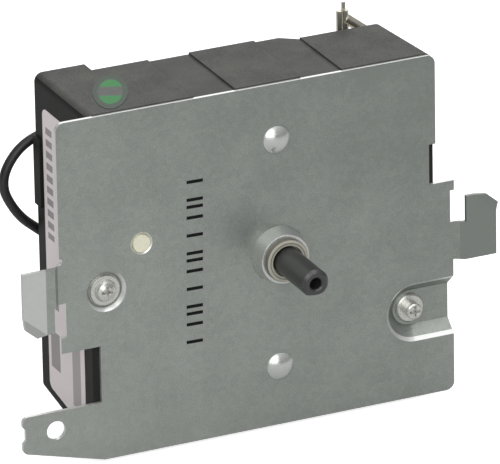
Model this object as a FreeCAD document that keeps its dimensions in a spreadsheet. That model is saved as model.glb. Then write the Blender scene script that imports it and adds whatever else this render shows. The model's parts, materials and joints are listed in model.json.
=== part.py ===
import FreeCAD, Part
import math
import os
import re
import Sketcher
from FreeCAD import Placement, Rotation, Vector

# Dryer timer. Millimetres. The origin is where the shaft's axis crosses the front face of the plate.
# X runs to the right, Y runs back into the case, Z runs up.

# Driving sizes: name, value, meaning
SIZES = [
    ("sheet", 1.0, "thickness of the pressed plate"),
    ("plate_left", 58.8, "shaft axis to the plate's left edge"),
    ("plate_right", 43.3, "shaft axis to the plate's upper right edge"),
    ("plate_right_low", 48.0, "shaft axis to the plate's lower right edge"),
    ("plate_top", 45.0, "shaft axis to the plate's top edge"),
    ("plate_bottom", 46.0, "shaft axis to the plate's bottom edge"),
    ("plate_corner", 2.2, "corner radius of the plate"),
    ("notch_high", 21.3, "top of the notch in the right edge"),
    ("notch_low", 10.6, "foot of the notch in the right edge"),
    ("notch_deep", 1.8, "depth of the notch in the right edge"),
    ("ear_reach", 48.3, "shaft axis to the ear's nose"),
    ("ear_thick", 2.6, "height of the ear's nose"),
    ("ear_step", 1.1, "step behind the ear's nose"),
    ("tab_end", 69.7, "shaft axis to the end of the screw tab"),
    ("tab_top", 30.6, "top edge of the screw tab, below the axis"),
    ("tab_foot", 40.2, "lower corner of the screw tab, below the axis"),
    ("tab_start", 48.0, "where the plate's bottom edge turns up to the tab"),
    ("tab_corner", 1.5, "corner radius of the screw tab"),
    ("tab_hole", 2.5, "radius of the tab's screw hole"),
    ("tab_hole_across", 60.8, "shaft axis to the tab's hole, across"),
    ("tab_hole_down", 35.6, "shaft axis to the tab's hole, down"),
    ("tab_nick", 0.8, "depth of the nick in the tab's end"),
    ("tab_nick_height", 4.6, "height of the nick in the tab's end"),
    ("cutout_right", 48.4, "right side of the cut-out above the tab"),
    ("cutout_top", 15.5, "top of the cut-out, below the axis"),
    ("slot_depth", 1.5, "depth of the slot behind the left hook"),
    ("slot_foot", 11.4, "foot of that slot, below the axis"),
    ("strip_height", 10.2, "height of a hook's neck"),
    ("right_strip_foot", 10.7, "foot of the right hook's neck, below the axis"),
    ("left_strip_foot", 2.3, "foot of the left hook's neck, below the axis"),
    ("hook_step", 1.4, "how far a hook stands in front of the plate"),
    ("hook_run", 2.1, "width over which the left hook steps forward"),
    ("hook_run_right", 3.0, "width over which the right hook steps forward"),
    ("hook_width", 8.3, "width of a hook's flag"),
    ("hook_height", 17.0, "height of a hook's flag"),
    ("hook_corner", 5.3, "height of the bent corner of a hook's flag"),
    ("hook_corner_wide", 6.2, "width of that bent corner"),
    ("hook_blunt", 0.5, "share of the bent corner that is left after its tip is cut off"),
    ("hook_lift", 2.0, "how far the bent corner stands forward"),
    ("dome_radius", 3.7, "radius of an embossed dome"),
    ("dome_height", 1.5, "height of an embossed dome"),
    ("dome_offset", 30.3, "shaft axis to a dome"),
    ("boss_radius", 7.3, "foot radius of the raised boss round the shaft"),
    ("boss_top", 6.4, "top radius of the raised boss"),
    ("boss_height", 4.2, "height of the raised boss"),
    ("dimple_radius", 5.4, "mouth radius of the screw dimple"),
    ("dimple_floor", 4.3, "floor radius of the screw dimple"),
    ("dimple_deep", 1.3, "depth of the screw dimple"),
    ("screw_left_across", 46.5, "shaft axis to the left screw, across"),
    ("screw_left_down", 1.2, "shaft axis to the left screw, down"),
    ("screw_right_across", 37.3, "shaft axis to the right screw, across"),
    ("screw_right_down", 23.0, "shaft axis to the right screw, down"),
    ("screw_radius", 1.75, "radius of a plate screw's shank"),
    ("screw_hole_gap", 0.15, "room round a screw's shank"),
    ("screw_length", 9.0, "length of a plate screw's shank"),
    ("flange_radius", 3.85, "flange radius of the left screw"),
    ("flange_thick", 0.7, "flange thickness of the left screw"),
    ("crown_radius", 2.9, "head radius of the left screw"),
    ("crown_height", 1.5, "head height of the left screw"),
    ("small_head_radius", 2.1, "head radius of the right screw"),
    ("small_head_height", 2.6, "head height of the right screw"),
    ("washer_radius", 3.75, "outer radius of the screw's washer"),
    ("washer_thick", 0.9, "thickness of the screw's washer"),
    ("cross_width", 0.75, "width of a cross recess"),
    ("cross_deep", 1.1, "depth of a cross recess"),
    ("channel_half", 7.9, "half height of the channel's mouth"),
    ("channel_floor", 4.6, "half height of the channel's floor"),
    ("channel_deep", 3.6, "depth of the channel"),
    ("channel_side", 0.55, "extra reach of the channel's back at its mouth"),
    ("relief", 0.9, "radius of the relief hole at the left hook"),
    ("bush_radius", 5.65, "outer radius of the shaft's bush"),
    ("bush_proud", 1.5, "how far the bush stands in front of the boss"),
    ("bush_barrel", 4.2, "radius of the bush's barrel in the plate"),
    ("bush_mouth", 4.0, "radius of the bush's open mouth"),
    ("bush_mouth_deep", 1.9, "depth of the bush's open mouth"),
    ("bush_round", 0.6, "rounding of the bush's rim"),
    ("running", 0.06, "running clearance, on the radius"),
    ("play", 0.3, "end play between turning parts"),
    ("lead_straight", 5.2, "straight start of the long lead"),
    ("barrel_behind", 4.2, "case's back to the lower connector's barrel"),
    ("barrel_drop", 1.6, "receptacle to the end of that barrel"),
    ("barrel_straight", 6.4, "straight start of the short lead"),
    ("shaft_front", 3.6, "radius of the control shaft in front of the bush"),
    ("shaft_radius", 3.175, "radius of the control shaft in the drum"),
    ("bearing_radius", 3.4, "radius of the shaft inside its bush"),
    ("shaft_reach", 16.3, "shaft past the bush"),
    ("shaft_tip", 0.8, "chamfer at the shaft's tip"),
    ("flat_long", 8.2, "length of the shaft's flat"),
    ("flat_across", 2.75, "shaft axis to its flat"),
    ("tip_hole", 1.5, "radius of the blind hole in the tip"),
    ("tip_hole_deep", 6.0, "depth of the blind hole in the tip"),
    ("collar_radius", 5.0, "radius of the shaft's collar behind the bush"),
    ("journal_radius", 2.5, "radius of the shaft's rear journal"),
    ("journal_long", 3.4, "length of the shaft's rear journal"),
    ("key_width", 1.6, "width of the shaft's keys"),
    ("key_high", 0.9, "height of the shaft's keys"),
    ("gear_front", 1.6, "plate's front face to the drum gear"),
    ("gear_width", 2.6, "width of the drum gear"),
    ("gear_teeth", 60, "teeth of the drum gear"),
    ("hub_radius", 6.5, "radius of the drum's front hub"),
    ("drum_front", 5.3, "plate's front face to the first track"),
    ("track_width", 3.6, "width of a cam track"),
    ("track_count", 4, "number of cam tracks"),
    ("track_high", 21.0, "radius of a track's lands"),
    ("track_low", 18.6, "radius of a track's gaps"),
    ("drum_web", 15.0, "outer radius of the hollow in the drum's back"),
    ("drum_hollow_deep", 12.0, "depth of the hollow in the drum's back"),
    ("drum_core", 7.5, "radius of the drum's core"),
    ("detent_width", 2.7, "width of the detent ring"),
    ("detent_radius", 17.6, "radius of the detent ring's peaks"),
    ("detent_deep", 0.7, "depth of a detent valley"),
    ("detent_count", 24, "number of detent valleys"),
    ("clutch_inner", 8.2, "inner radius of the clutch spring"),
    ("clutch_outer", 12.0, "outer radius of the clutch spring"),
    ("clutch_thick", 0.3, "thickness of the clutch spring"),
    ("drive_across", 36.8, "shaft axis to the drive gear, across"),
    ("drive_up", 9.7, "shaft axis to the drive gear, up"),
    ("drive_pinion_teeth", 16, "teeth of the drive gear's pinion"),
    ("drive_pinion_width", 3.4, "width of the drive gear's pinion"),
    ("drive_wheel_teeth", 24, "teeth of the drive gear's wheel"),
    ("drive_wheel_width", 3.2, "width of the drive gear's wheel"),
    ("drive_wheel_front", 21.9, "plate's front face to the drive gear's wheel"),
    ("drive_stem", 3.2, "radius of the drive gear's stem"),
    ("peg_radius", 2.25, "radius of the drive gear's front journal"),
    ("peg_proud", 0.25, "how far the journal stands in front of the plate"),
    ("peg_ring", 3.0, "radius of the chamfer round the journal"),
    ("pivot_radius", 1.5, "radius of the drive gear's rear journal"),
    ("wheel_module", 0.8, "module of wheel and output pinion"),
    ("fine_module", 0.5, "module of the motor's own gears"),
    ("output_bearing", 45.0, "direction from drive gear down to the output"),
    ("output_pinion_teeth", 10, "teeth of the output pinion"),
    ("output_pinion_width", 3.8, "width of the output pinion"),
    ("output_wheel_teeth", 26, "teeth of the output wheel"),
    ("output_wheel_width", 1.6, "width of the output wheel"),
    ("output_stem", 2.0, "radius of the output gear's stem"),
    ("output_pivot", 1.0, "radius of the output gear's rear journal"),
    ("idler_pinion_teeth", 12, "teeth of the idler's pinion"),
    ("idler_wheel_teeth", 30, "teeth of the idler's wheel"),
    ("idler_wheel_width", 1.6, "width of the idler's wheel"),
    ("rotor_pinion_teeth", 10, "teeth of the rotor's pinion"),
    ("rotor_pinion_width", 2.0, "width of the rotor's pinion"),
    ("axle_radius", 0.75, "radius of the motor's axles"),
    ("case_left", 50.2, "shaft axis to the case's left face"),
    ("case_right", 43.0, "shaft axis to the case's right face, front"),
    ("case_lean", 2.7, "lean of the right face towards the back"),
    ("case_top", 45.3, "shaft axis to the case's top"),
    ("case_bottom", 45.0, "shaft axis to the case's underside, front"),
    ("case_rise", 5.4, "rise of the underside towards the back"),
    ("case_deep", 33.0, "plate's front face to the back of the end block"),
    ("case_back", 28.5, "plate's front face to the case's back"),
    ("case_low_back", 25.0, "plate's front face to the back at the right"),
    ("end_block", 13.5, "width of the end block"),
    ("back_step", 18.7, "shaft axis to where the back steps in"),
    ("back_slope", 4.7, "width over which the back steps in"),
    ("wall", 2.0, "wall of the case"),
    ("case_round", 2.2, "rounding of the case's long edges"),
    ("band_deep", 0.5, "depth of the bands across the top"),
    ("band_width", 11.1, "width of a band"),
    ("band_one", -21.6, "left side of the first band"),
    ("band_two", 7.2, "left side of the second band"),
    ("clip_top", 29.0, "top of the bulge on the rear left edge"),
    ("clip_height", 18.0, "height of that bulge"),
    ("clip_proud", 0.8, "how far the bulge stands out"),
    ("clip_wide", 4.0, "width of the bulge, front to back"),
    ("post_radius", 3.6, "radius of the posts that take the screws"),
    ("post_long", 13.0, "length of those posts"),
    ("shaft_post", 5.2, "radius of the shaft's bearing post"),
    ("label_front", 6.0, "plate's front face to the label"),
    ("label_back", 28.2, "plate's front face to the label's back edge"),
    ("label_top", 38.0, "top of the label"),
    ("label_foot", 40.2, "foot of the label"),
    ("label_rise", 3.6, "rise of the label's foot towards the back"),
    ("label_thick", 0.15, "thickness of the label"),
    ("seal_long", 22.6, "length of the oval seal"),
    ("seal_wide", 8.5, "width of the oval seal"),
    ("seal_thick", 0.12, "thickness of the seal"),
    ("seal_across", 38.5, "shaft axis to the seal, across"),
    ("seal_back", 12.9, "plate's front face to the seal's middle"),
    ("seal_turn", 24.0, "turn of the seal"),
    ("blade_width", 3.0, "width of a contact blade's arm"),
    ("blade_spring", 0.4, "thickness of a spring blade"),
    ("blade_fixed", 0.8, "thickness of a fixed blade"),
    ("blade_level", 26.0, "shaft axis to the spring blades"),
    ("blade_apart", 5.0, "spring blade to fixed blade"),
    ("blade_reach", 14.0, "shaft axis to the blades' free ends"),
    ("nib_half", 3.0, "half length of a follower nib"),
    ("nib_gap", 0.12, "room between nib and land"),
    ("tab_wide", 6.3, "width of a terminal tab"),
    ("tab_long", 8.0, "length of a terminal tab outside the case"),
    ("tab_eye", 0.8, "radius of the hole in a terminal tab"),
    ("tab_outer", 33.0, "shaft axis to the outer terminal tabs"),
    ("tab_inner", 23.7, "shaft axis to the inner terminal tabs"),
    ("tab_slot", 0.25, "room round a tab where it leaves the case"),
    ("button_radius", 1.4, "radius of a contact button"),
    ("button_inset", 2.2, "button axis from the blade's free end"),
    ("block_near", 19.6, "shaft axis to the terminal blocks, near side"),
    ("block_far", 39.0, "shaft axis to the terminal blocks, far side"),
    ("block_low", 23.9, "shaft axis to a block's inner face"),
    ("block_high", 35.2, "shaft axis to a block's outer face"),
    ("leaf_thick", 0.4, "thickness of the detent spring"),
    ("leaf_across", 21.2, "shaft axis to the detent spring"),
    ("leaf_top", 16.0, "top of the detent spring"),
    ("leaf_foot", 10.0, "foot of the detent spring, below the axis"),
    ("leaf_width", 2.2, "width of the detent spring"),
    ("motor_across", 13.0, "shaft axis to the motor, across"),
    ("motor_down", 2.0, "shaft axis to the motor, down"),
    ("can_radius", 23.0, "radius of the motor's can"),
    ("can_long", 13.8, "length of the motor's can"),
    ("can_wall", 0.8, "wall of the motor's can"),
    ("can_round", 2.4, "rounding of the can's back edge"),
    ("motor_plate_thick", 1.2, "thickness of the motor's plate"),
    ("ear_gap", 5.6, "can's outside to a mounting screw's axis"),
    ("ear_radius", 3.3, "radius of a mounting ear"),
    ("motor_screw", 1.5, "radius of a motor screw's shank"),
    ("motor_screw_head", 2.9, "head radius of a motor screw"),
    ("motor_screw_high", 1.7, "head height of a motor screw"),
    ("motor_screw_long", 4.2, "length of a motor screw's shank"),
    ("gearcase_deep", 4.9, "motor's plate to the pole plate"),
    ("pole_thick", 0.8, "thickness of the pole plate"),
    ("pole_inner", 9.0, "inner radius of the pole plate"),
    ("pole_count", 8, "number of pole claws"),
    ("claw_long", 5.6, "length of a pole claw"),
    ("claw_half", 13.0, "half angle of a pole claw"),
    ("magnet_radius", 8.2, "radius of the rotor's magnet"),
    ("magnet_bore", 4.0, "bore of the rotor's magnet"),
    ("magnet_long", 5.8, "length of the rotor's magnet"),
    ("bobbin_inner", 10.1, "inner radius of the bobbin"),
    ("bobbin_wall", 0.9, "wall of the bobbin"),
    ("winding_gap", 2.8, "can's wall to the winding"),
    ("bobbin_gap", 1.7, "can's wall to the bobbin"),
    ("lead_radius", 1.25, "radius of a motor lead"),
    ("grommet_wide", 6.0, "width of a lead's grommet"),
    ("grommet_long", 3.2, "reach of a grommet past the can"),
    ("lead_level", 36.6, "plate's front face to the leads' exits"),
    ("receptacle_wide", 7.6, "width of a push-on receptacle"),
    ("receptacle_high", 3.0, "height of a push-on receptacle"),
    ("receptacle_long", 7.0, "length of a push-on receptacle"),
    ("receptacle_metal", 0.4, "thickness of a receptacle's metal"),
    ("crimp_radius", 1.3, "outer radius of a crimp barrel"),
    ("crimp_long", 7.4, "length of the slanted crimp barrel"),
    ("crimp_turn", 38.0, "slant of the upper crimp barrel"),
    ("upright_wide", 3.0, "width of the upright ears"),
    ("upright_top", 48.0, "top of the upright ears"),
    ("tongue_top", 50.0, "top of the tongue above the ears"),
    ("backlash", 0.09, "share of the tooth left as backlash"),
    ("pressure_angle", 20.0, "pressure angle of the gears"),
]

DOC = FreeCAD.newDocument("dryer_timer")
SHEET = DOC.addObject("Spreadsheet::Sheet", "Size")
for row, (alias, amount, meaning) in enumerate(SIZES, start=1):
    SHEET.set(f"A{row}", str(amount))
    SHEET.set(f"B{row}", meaning)
    SHEET.setAlias(f"A{row}", alias)
DOC.recompute()
NAMES = {alias for alias, amount, meaning in SIZES}
SUBPARTS = []

BACKWARD = Rotation(Vector(1, 0, 0), -90)
TRUE_SOLID = 1e-6


def full(text):
    """An expression with each size's name led to the sheet."""
    return re.sub(r"[a-z_]+", lambda word: "Size." + word.group() if word.group() in NAMES else word.group(), str(text))


def mm(text):
    """The number that an expression of sizes comes to."""
    return float(SHEET.evalExpression(full(text)))


def bind(item, **sizes):
    """Tie properties of an object to the sheet."""
    for name, text in sizes.items():
        item.setExpression(name, full(text))


def place(item, x="0", y="0", z="0", turn=None):
    """Turn an object, then tie its place to the sheet."""
    if turn is not None:
        item.Placement = Placement(Vector(), turn)
    for axis, text in (("x", x), ("y", y), ("z", z)):
        item.setExpression("Placement.Base." + axis, full(text))
    return item


def cylinder(name, radius, length, x="0", y="0", z="0"):
    """A round bar along Y, from y backwards."""
    item = DOC.addObject("Part::Cylinder", name)
    bind(item, Radius=radius, Height=length)
    return place(item, x, y, z, BACKWARD)


def cone(name, front, back, length, x="0", y="0", z="0"):
    """A tapered bar along Y, from y backwards."""
    item = DOC.addObject("Part::Cone", name)
    bind(item, Radius1=front, Radius2=back, Height=length)
    return place(item, x, y, z, BACKWARD)


def ball(name, radius, x="0", y="0", z="0"):
    item = DOC.addObject("Part::Sphere", name)
    bind(item, Radius=radius)
    return place(item, x, y, z)


def block(name, x, y, z, across, deep, high):
    """A box from its lowest corner."""
    item = DOC.addObject("Part::Box", name)
    bind(item, Length=across, Width=deep, Height=high)
    return place(item, x, y, z)


def cut(name, base, *tools):
    for count, tool in enumerate(tools):
        item = DOC.addObject("Part::Cut", f"{name}_cut{count}")
        item.Base = base
        item.Tool = tool
        base = item
    return base


def fuse(name, *items):
    item = DOC.addObject("Part::MultiFuse", name + "_joined")
    item.Shapes = list(items)
    item.Refine = True
    return item


def common(name, first, second):
    item = DOC.addObject("Part::Common", name + "_common")
    item.Base = first
    item.Tool = second
    return item


def group(name, items):
    """Separate solids under one name."""
    item = DOC.addObject("Part::Compound", name + "_group")
    item.Links = list(items)
    return item


def body(name):
    item = DOC.addObject("PartDesign::Body", name)
    DOC.recompute()
    return item


def outline(host, name, plane, corners, offset="0"):
    """A closed outline on one of the body's origin planes, each corner tied to the sheet."""
    sketch = host.newObject("Sketcher::SketchObject", name)
    planes = {item.Role: item for item in host.Origin.OriginFeatures}
    sketch.AttachmentSupport = (planes[plane], [""])
    sketch.MapMode = "FlatFace"
    bind(sketch, **{"AttachmentOffset.Base.z": offset})
    points = [Vector(mm(u), mm(v), 0) for u, v in corners]
    edges = []
    for count, start in enumerate(points):
        end = points[(count + 1) % len(points)]
        edges.append(sketch.addGeometry(Part.LineSegment(start, end), False))
    for count, edge in enumerate(edges):
        following = edges[(count + 1) % len(edges)]
        sketch.addConstraint(Sketcher.Constraint("Coincident", edge, 2, following, 1))
    for edge, start, corner in zip(edges, points, corners):
        for kind, number, text in (("DistanceX", start.x, corner[0]), ("DistanceY", start.y, corner[1])):
            index = sketch.addConstraint(Sketcher.Constraint(kind, -1, 1, edge, 1, number))
            bind(sketch, **{f"Constraints[{index}]": text})
    return sketch


def pad(host, sketch, length, backward=False):
    """Thicken an outline, along the plane's normal or against it."""
    item = host.newObject("PartDesign::Pad", sketch.Name + "_pad")
    item.Profile = sketch
    item.Reversed = backward
    bind(item, Length=length)
    sketch.Visibility = False
    DOC.recompute()
    return item


def round_edges(host, last, spots, radius):
    """Round the edges of a body's last feature that pass through the given spots."""
    names = []
    for number, edge in enumerate(last.Shape.Edges, start=1):
        for spot in spots:
            if edge.distToShape(Part.Vertex(Vector(*spot)))[0] < TRUE_SOLID * 10:
                names.append(f"Edge{number}")
    item = host.newObject("PartDesign::Fillet", host.Name + "_rounding")
    item.Base = (last, sorted(set(names)))
    bind(item, Radius=radius)
    DOC.recompute()
    return item


def plate_body(name, corners, front, thick):
    """A flat piece parallel to the plate, from front backwards."""
    host = body(name)
    sketch = outline(host, name + "_outline", "XZ_Plane", corners, f"-({front})")
    pad(host, sketch, thick, backward=True)
    return host


def turned(name, corners, x="0", z="0"):
    """A piece turned about an axis along Y: corners are radius and depth."""
    host = body(name)
    sketch = outline(host, name + "_profile", "XY_Plane", corners)
    item = host.newObject("PartDesign::Revolution", name + "_turning")
    item.Profile = sketch
    item.ReferenceAxis = (sketch, ["V_Axis"])
    item.Angle = 360
    DOC.recompute()
    return place(host, x, "0", z)


def formed(name, shape, placement=None):
    """A piece whose shape is worked out below."""
    item = DOC.addObject("Part::Feature", name)
    item.Shape = shape
    item.Placement = (placement or Placement()).multiply(shape.Placement)
    return item


def keep(item, label):
    """Name a finished sub-part."""
    item.Label = label
    SUBPARTS.append(item)
    return item


# Mounting plate

def plate_blank():
    """The flat blank, with the notch, the ear, the cut-out and the screw tab."""
    corners = [
        ("-plate_left", "plate_top"),
        ("plate_right", "plate_top"),
        ("plate_right", "notch_high"),
        ("plate_right - notch_deep", "notch_high"),
        ("plate_right - notch_deep", "notch_low"),
        ("ear_reach", "notch_low"),
        ("ear_reach", "notch_low - ear_thick"),
        ("ear_reach - ear_step", "notch_low - ear_thick"),
        ("ear_reach - ear_step", "strip_height - right_strip_foot"),
        ("plate_right_low", "strip_height - right_strip_foot"),
        ("plate_right_low", "-plate_bottom"),
        ("-tab_start", "-plate_bottom"),
        ("-tab_end", "-tab_foot"),
        ("-tab_end", "-(tab_top + tab_foot + tab_nick_height) / 2"),
        ("-tab_end + tab_nick", "-(tab_top + tab_foot + tab_nick_height) / 2 + tab_nick"),
        ("-tab_end + tab_nick", "-(tab_top + tab_foot - tab_nick_height) / 2 - tab_nick"),
        ("-tab_end", "-(tab_top + tab_foot - tab_nick_height) / 2"),
        ("-tab_end", "-tab_top"),
        ("-cutout_right", "-tab_top"),
        ("-cutout_right", "-cutout_top"),
        ("-plate_left", "-cutout_top"),
        ("-plate_left", "-slot_foot"),
        ("-plate_left + slot_depth", "-slot_foot"),
        ("-plate_left + slot_depth", "-left_strip_foot"),
        ("-plate_left", "-left_strip_foot"),
    ]
    host = body("blank")
    last = pad(host, outline(host, "blank_outline", "XZ_Plane", corners), "sheet", backward=True)
    middle = mm("sheet") / 2
    wide = [
        (-mm("plate_left"), middle, mm("plate_top")),
        (mm("plate_right"), middle, mm("plate_top")),
        (mm("plate_right_low"), middle, -mm("plate_bottom")),
    ]
    last = round_edges(host, last, wide, "plate_corner")
    narrow = [
        (-mm("tab_end"), middle, -mm("tab_foot")),
        (-mm("tab_end"), middle, -mm("tab_top")),
    ]
    round_edges(host, last, narrow, "tab_corner")
    return host


def hook(name, side, edge, run, foot, flag_foot):
    """A neck that steps forward from the plate's edge and the flag that it carries."""
    neck = body(name + "_neck")
    sheet_line = [
        (edge, "0"),
        (f"{edge} + {side} * 0.5 * sheet", "0"),
        (f"{edge} + {side} * ({run} - 0.4 * sheet)", "-hook_step"),
        (f"{edge} + {side} * ({run} + sheet)", "-hook_step"),
        (f"{edge} + {side} * ({run} + sheet)", "sheet - hook_step"),
        (f"{edge} + {side} * ({run} - 0.8 * sheet)", "sheet - hook_step"),
        (f"{edge} + {side} * 0.1 * sheet", "sheet"),
        (edge, "sheet"),
    ]
    pad(neck, outline(neck, name + "_step", "XY_Plane", sheet_line, foot), "strip_height")
    near = f"{edge} + {side} * {run}"
    far = f"{edge} + {side} * ({run} + hook_width)"
    low = flag_foot
    high = f"{flag_foot} + hook_height"
    if side > 0:
        fold = [(far, f"{high} - hook_corner"), (f"{far} - hook_corner_wide", high)]
        corners = [(near, low), (far, low)] + fold + [(near, high)]
        corner = (far, high)
    else:
        fold = [(far, f"{low} + hook_corner"), (f"{far} + hook_corner_wide", low)]
        corners = [(near, high), (far, high)] + fold + [(near, low)]
        corner = (far, low)
    flag = plate_body(name + "_flag", corners, "-hook_step", "sheet")
    return [neck, flag, formed(name + "_lead_in", bent_corner(fold, corner))]


def bent_corner(fold, corner):
    """The flag's blunt corner beyond the fold, leaning forward."""
    front = -mm("hook_step")
    ends = [Vector(mm(u), front, mm(v)) for u, v in fold]
    tip = Vector(mm(corner[0]), front - mm("hook_lift"), mm(corner[1]))
    blunt = [end + (tip - end) * mm("hook_blunt") for end in ends]
    edge = [ends[0], ends[1], blunt[1], blunt[0], ends[0]]
    return Part.Face(Part.makePolygon(edge)).extrude(Vector(0, mm("sheet"), 0))


def channel_side(reach, half, floor_half, deep, front):
    """A solid between the channel's mouth and its floor, open past the plate's right edge."""
    centre = Vector(mm("screw_right_across"), 0, -mm("screw_right_down"))
    rims = []
    for size, depth in ((half, front), (floor_half, deep)):
        top = centre + Vector(0, depth, size)
        foot = centre + Vector(0, depth, -size)
        inner = centre + Vector(-size, depth, 0)
        far_top = Vector(reach, depth, top.z)
        far_foot = Vector(reach, depth, foot.z)
        edges = [
            Part.Arc(top, inner, foot).toShape(),
            Part.LineSegment(foot, far_foot).toShape(),
            Part.LineSegment(far_foot, far_top).toShape(),
            Part.LineSegment(far_top, top).toShape(),
        ]
        rims.append(Part.Wire(edges))
    return Part.makeLoft(rims, True, True)


def mounting_plate():
    half = mm("channel_half")
    floor = mm("channel_floor")
    sheet = mm("sheet")
    edge = mm("plate_right_low")
    void = formed("channel_void", channel_side(edge + 5, half, floor, mm("channel_deep"), 0))
    back = channel_side(edge, half + mm("channel_side"), floor + sheet * 0.7, mm("channel_deep") + sheet, 0)
    channel = formed("channel_back", back)
    dome_ball = "(dome_radius * dome_radius + dome_height * dome_height) / (2 * dome_height)"
    domes = []
    hollows = []
    for name, sign in (("upper", ""), ("lower", "-")):
        depth = f"{dome_ball} - dome_height"
        shell = ball(f"dome_{name}", dome_ball, "0", depth, f"{sign}dome_offset")
        crop = block(f"dome_{name}_crop", "-2 * dome_radius", "-2 * dome_height",
                     f"{sign}dome_offset - 2 * dome_radius", "4 * dome_radius", "2 * dome_height + sheet / 2",
                     "4 * dome_radius")
        domes.append(common(f"dome_{name}", shell, crop))
        hollows.append(ball(f"dome_{name}_hollow", f"{dome_ball} - sheet", "0", depth, f"{sign}dome_offset"))
    boss = cone("boss", "boss_top", "boss_radius", "boss_height", y="-boss_height")
    boss_hollow = cone("boss_hollow", "boss_top - sheet", "boss_radius - sheet / 2", "boss_height + sheet",
                       y="sheet - boss_height")
    left = ("-screw_left_across", "-screw_left_down")
    dimple = cone("dimple", "dimple_radius + sheet / 2", "dimple_floor + sheet / 2", "dimple_deep + sheet",
                  left[0], "0", left[1])
    dimple_void = cone("dimple_void", "dimple_radius", "dimple_floor", "dimple_deep", left[0], "0", left[1])
    right_hook = hook("right_hook", 1, "plate_right_low", "hook_run_right", "-right_strip_foot",
                      "-right_strip_foot")
    left_hook = hook("left_hook", -1, "-plate_left", "hook_run", "-left_strip_foot",
                     "strip_height - left_strip_foot - hook_height")
    solid = fuse("plate", plate_blank(), channel, dimple, boss, *domes, *right_hook, *left_hook)
    shank = "screw_radius + screw_hole_gap"
    deep = "4 * channel_deep"
    holes = [
        cylinder("bush_hole", "bush_barrel", "4 * boss_height", y="-2 * boss_height"),
        cylinder("left_screw_hole", shank, deep, left[0], "-channel_deep", left[1]),
        cylinder("right_screw_hole", shank, deep, "screw_right_across", "-channel_deep", "-screw_right_down"),
        cylinder("peg_hole", "peg_radius + running", deep, "-drive_across", "-channel_deep", "drive_up"),
        cone("peg_chamfer", "peg_ring", "peg_radius + running", "sheet / 2", "-drive_across", "0", "drive_up"),
        cylinder("tab_screw_hole", "tab_hole", deep, "-tab_hole_across", "-channel_deep", "-tab_hole_down"),
        cylinder("hook_relief", "relief", deep, "-plate_left", "-channel_deep",
                 "strip_height - left_strip_foot + relief"),
    ]
    keep(cut("plate_pressed", solid, void, dimple_void, boss_hollow, *hollows, *holes), "mounting_plate")


def shaft_bush():
    rim = "-boss_height - bush_proud"
    corners = [
        ("bearing_radius + running", "sheet"),
        ("bush_barrel", "sheet"),
        ("bush_barrel", "-boss_height"),
        ("bush_radius", "-boss_height"),
        ("bush_radius", f"{rim} + bush_round"),
        ("bush_radius - 0.3 * bush_round", f"{rim} + 0.3 * bush_round"),
        ("bush_radius - bush_round", rim),
        ("bush_mouth + bush_round / 4", rim),
        ("bush_mouth", f"{rim} + bush_round / 4"),
        ("bush_mouth", f"{rim} + bush_mouth_deep"),
        ("bearing_radius + running", f"{rim} + bush_mouth_deep"),
    ]
    keep(turned("bush", corners), "shaft_bush")


# Screws

def cross_recess(name, x, y, z):
    """Two crossed slots cut into a screw's head."""
    reach = "4 * cross_width"
    half = "2 * cross_width"
    wide = block(name + "_wide", f"{x} - {half}", y, f"{z} - cross_width / 2", reach, "cross_deep", "cross_width")
    tall = block(name + "_tall", f"{x} - cross_width / 2", y, f"{z} - {half}", "cross_width", "cross_deep", reach)
    return [wide, tall]


def plate_screws():
    seat = "dimple_deep"
    corners = [
        ("0", f"{seat} + screw_length"),
        ("screw_radius * 0.5", f"{seat} + screw_length"),
        ("screw_radius", f"{seat} + screw_length - screw_radius"),
        ("screw_radius", seat),
        ("flange_radius", seat),
        ("flange_radius", f"{seat} - flange_thick"),
        ("crown_radius", f"{seat} - flange_thick"),
        ("crown_radius * 0.8", f"{seat} - flange_thick - crown_height * 0.7"),
        ("crown_radius * 0.45", f"{seat} - flange_thick - crown_height"),
        ("0", f"{seat} - flange_thick - crown_height"),
    ]
    left = turned("screw_left", corners, "-screw_left_across", "-screw_left_down")
    recess = cross_recess("left_recess", "-screw_left_across", f"{seat} - flange_thick - crown_height",
                          "-screw_left_down")
    keep(cut("screw_left", left, *recess), "plate_screw_left")
    seat = "channel_deep - washer_thick"
    corners = [
        ("0", f"{seat} + screw_length"),
        ("screw_radius * 0.5", f"{seat} + screw_length"),
        ("screw_radius", f"{seat} + screw_length - screw_radius"),
        ("screw_radius", seat),
        ("small_head_radius", seat),
        ("small_head_radius", f"{seat} - small_head_height + 0.3"),
        ("small_head_radius - 0.3", f"{seat} - small_head_height"),
        ("0", f"{seat} - small_head_height"),
    ]
    right = turned("screw_right", corners, "screw_right_across", "-screw_right_down")
    recess = cross_recess("right_recess", "screw_right_across", f"{seat} - small_head_height", "-screw_right_down")
    keep(cut("screw_right", right, *recess), "plate_screw_right")
    corners = [
        ("screw_radius + screw_hole_gap", "channel_deep"),
        ("washer_radius", "channel_deep"),
        ("washer_radius", "channel_deep - washer_thick * 0.6"),
        ("washer_radius - 0.4 * washer_thick", seat),
        ("screw_radius + screw_hole_gap", seat),
    ]
    keep(turned("washer", corners, "screw_right_across", "-screw_right_down"), "screw_washer")


# Gears

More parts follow.
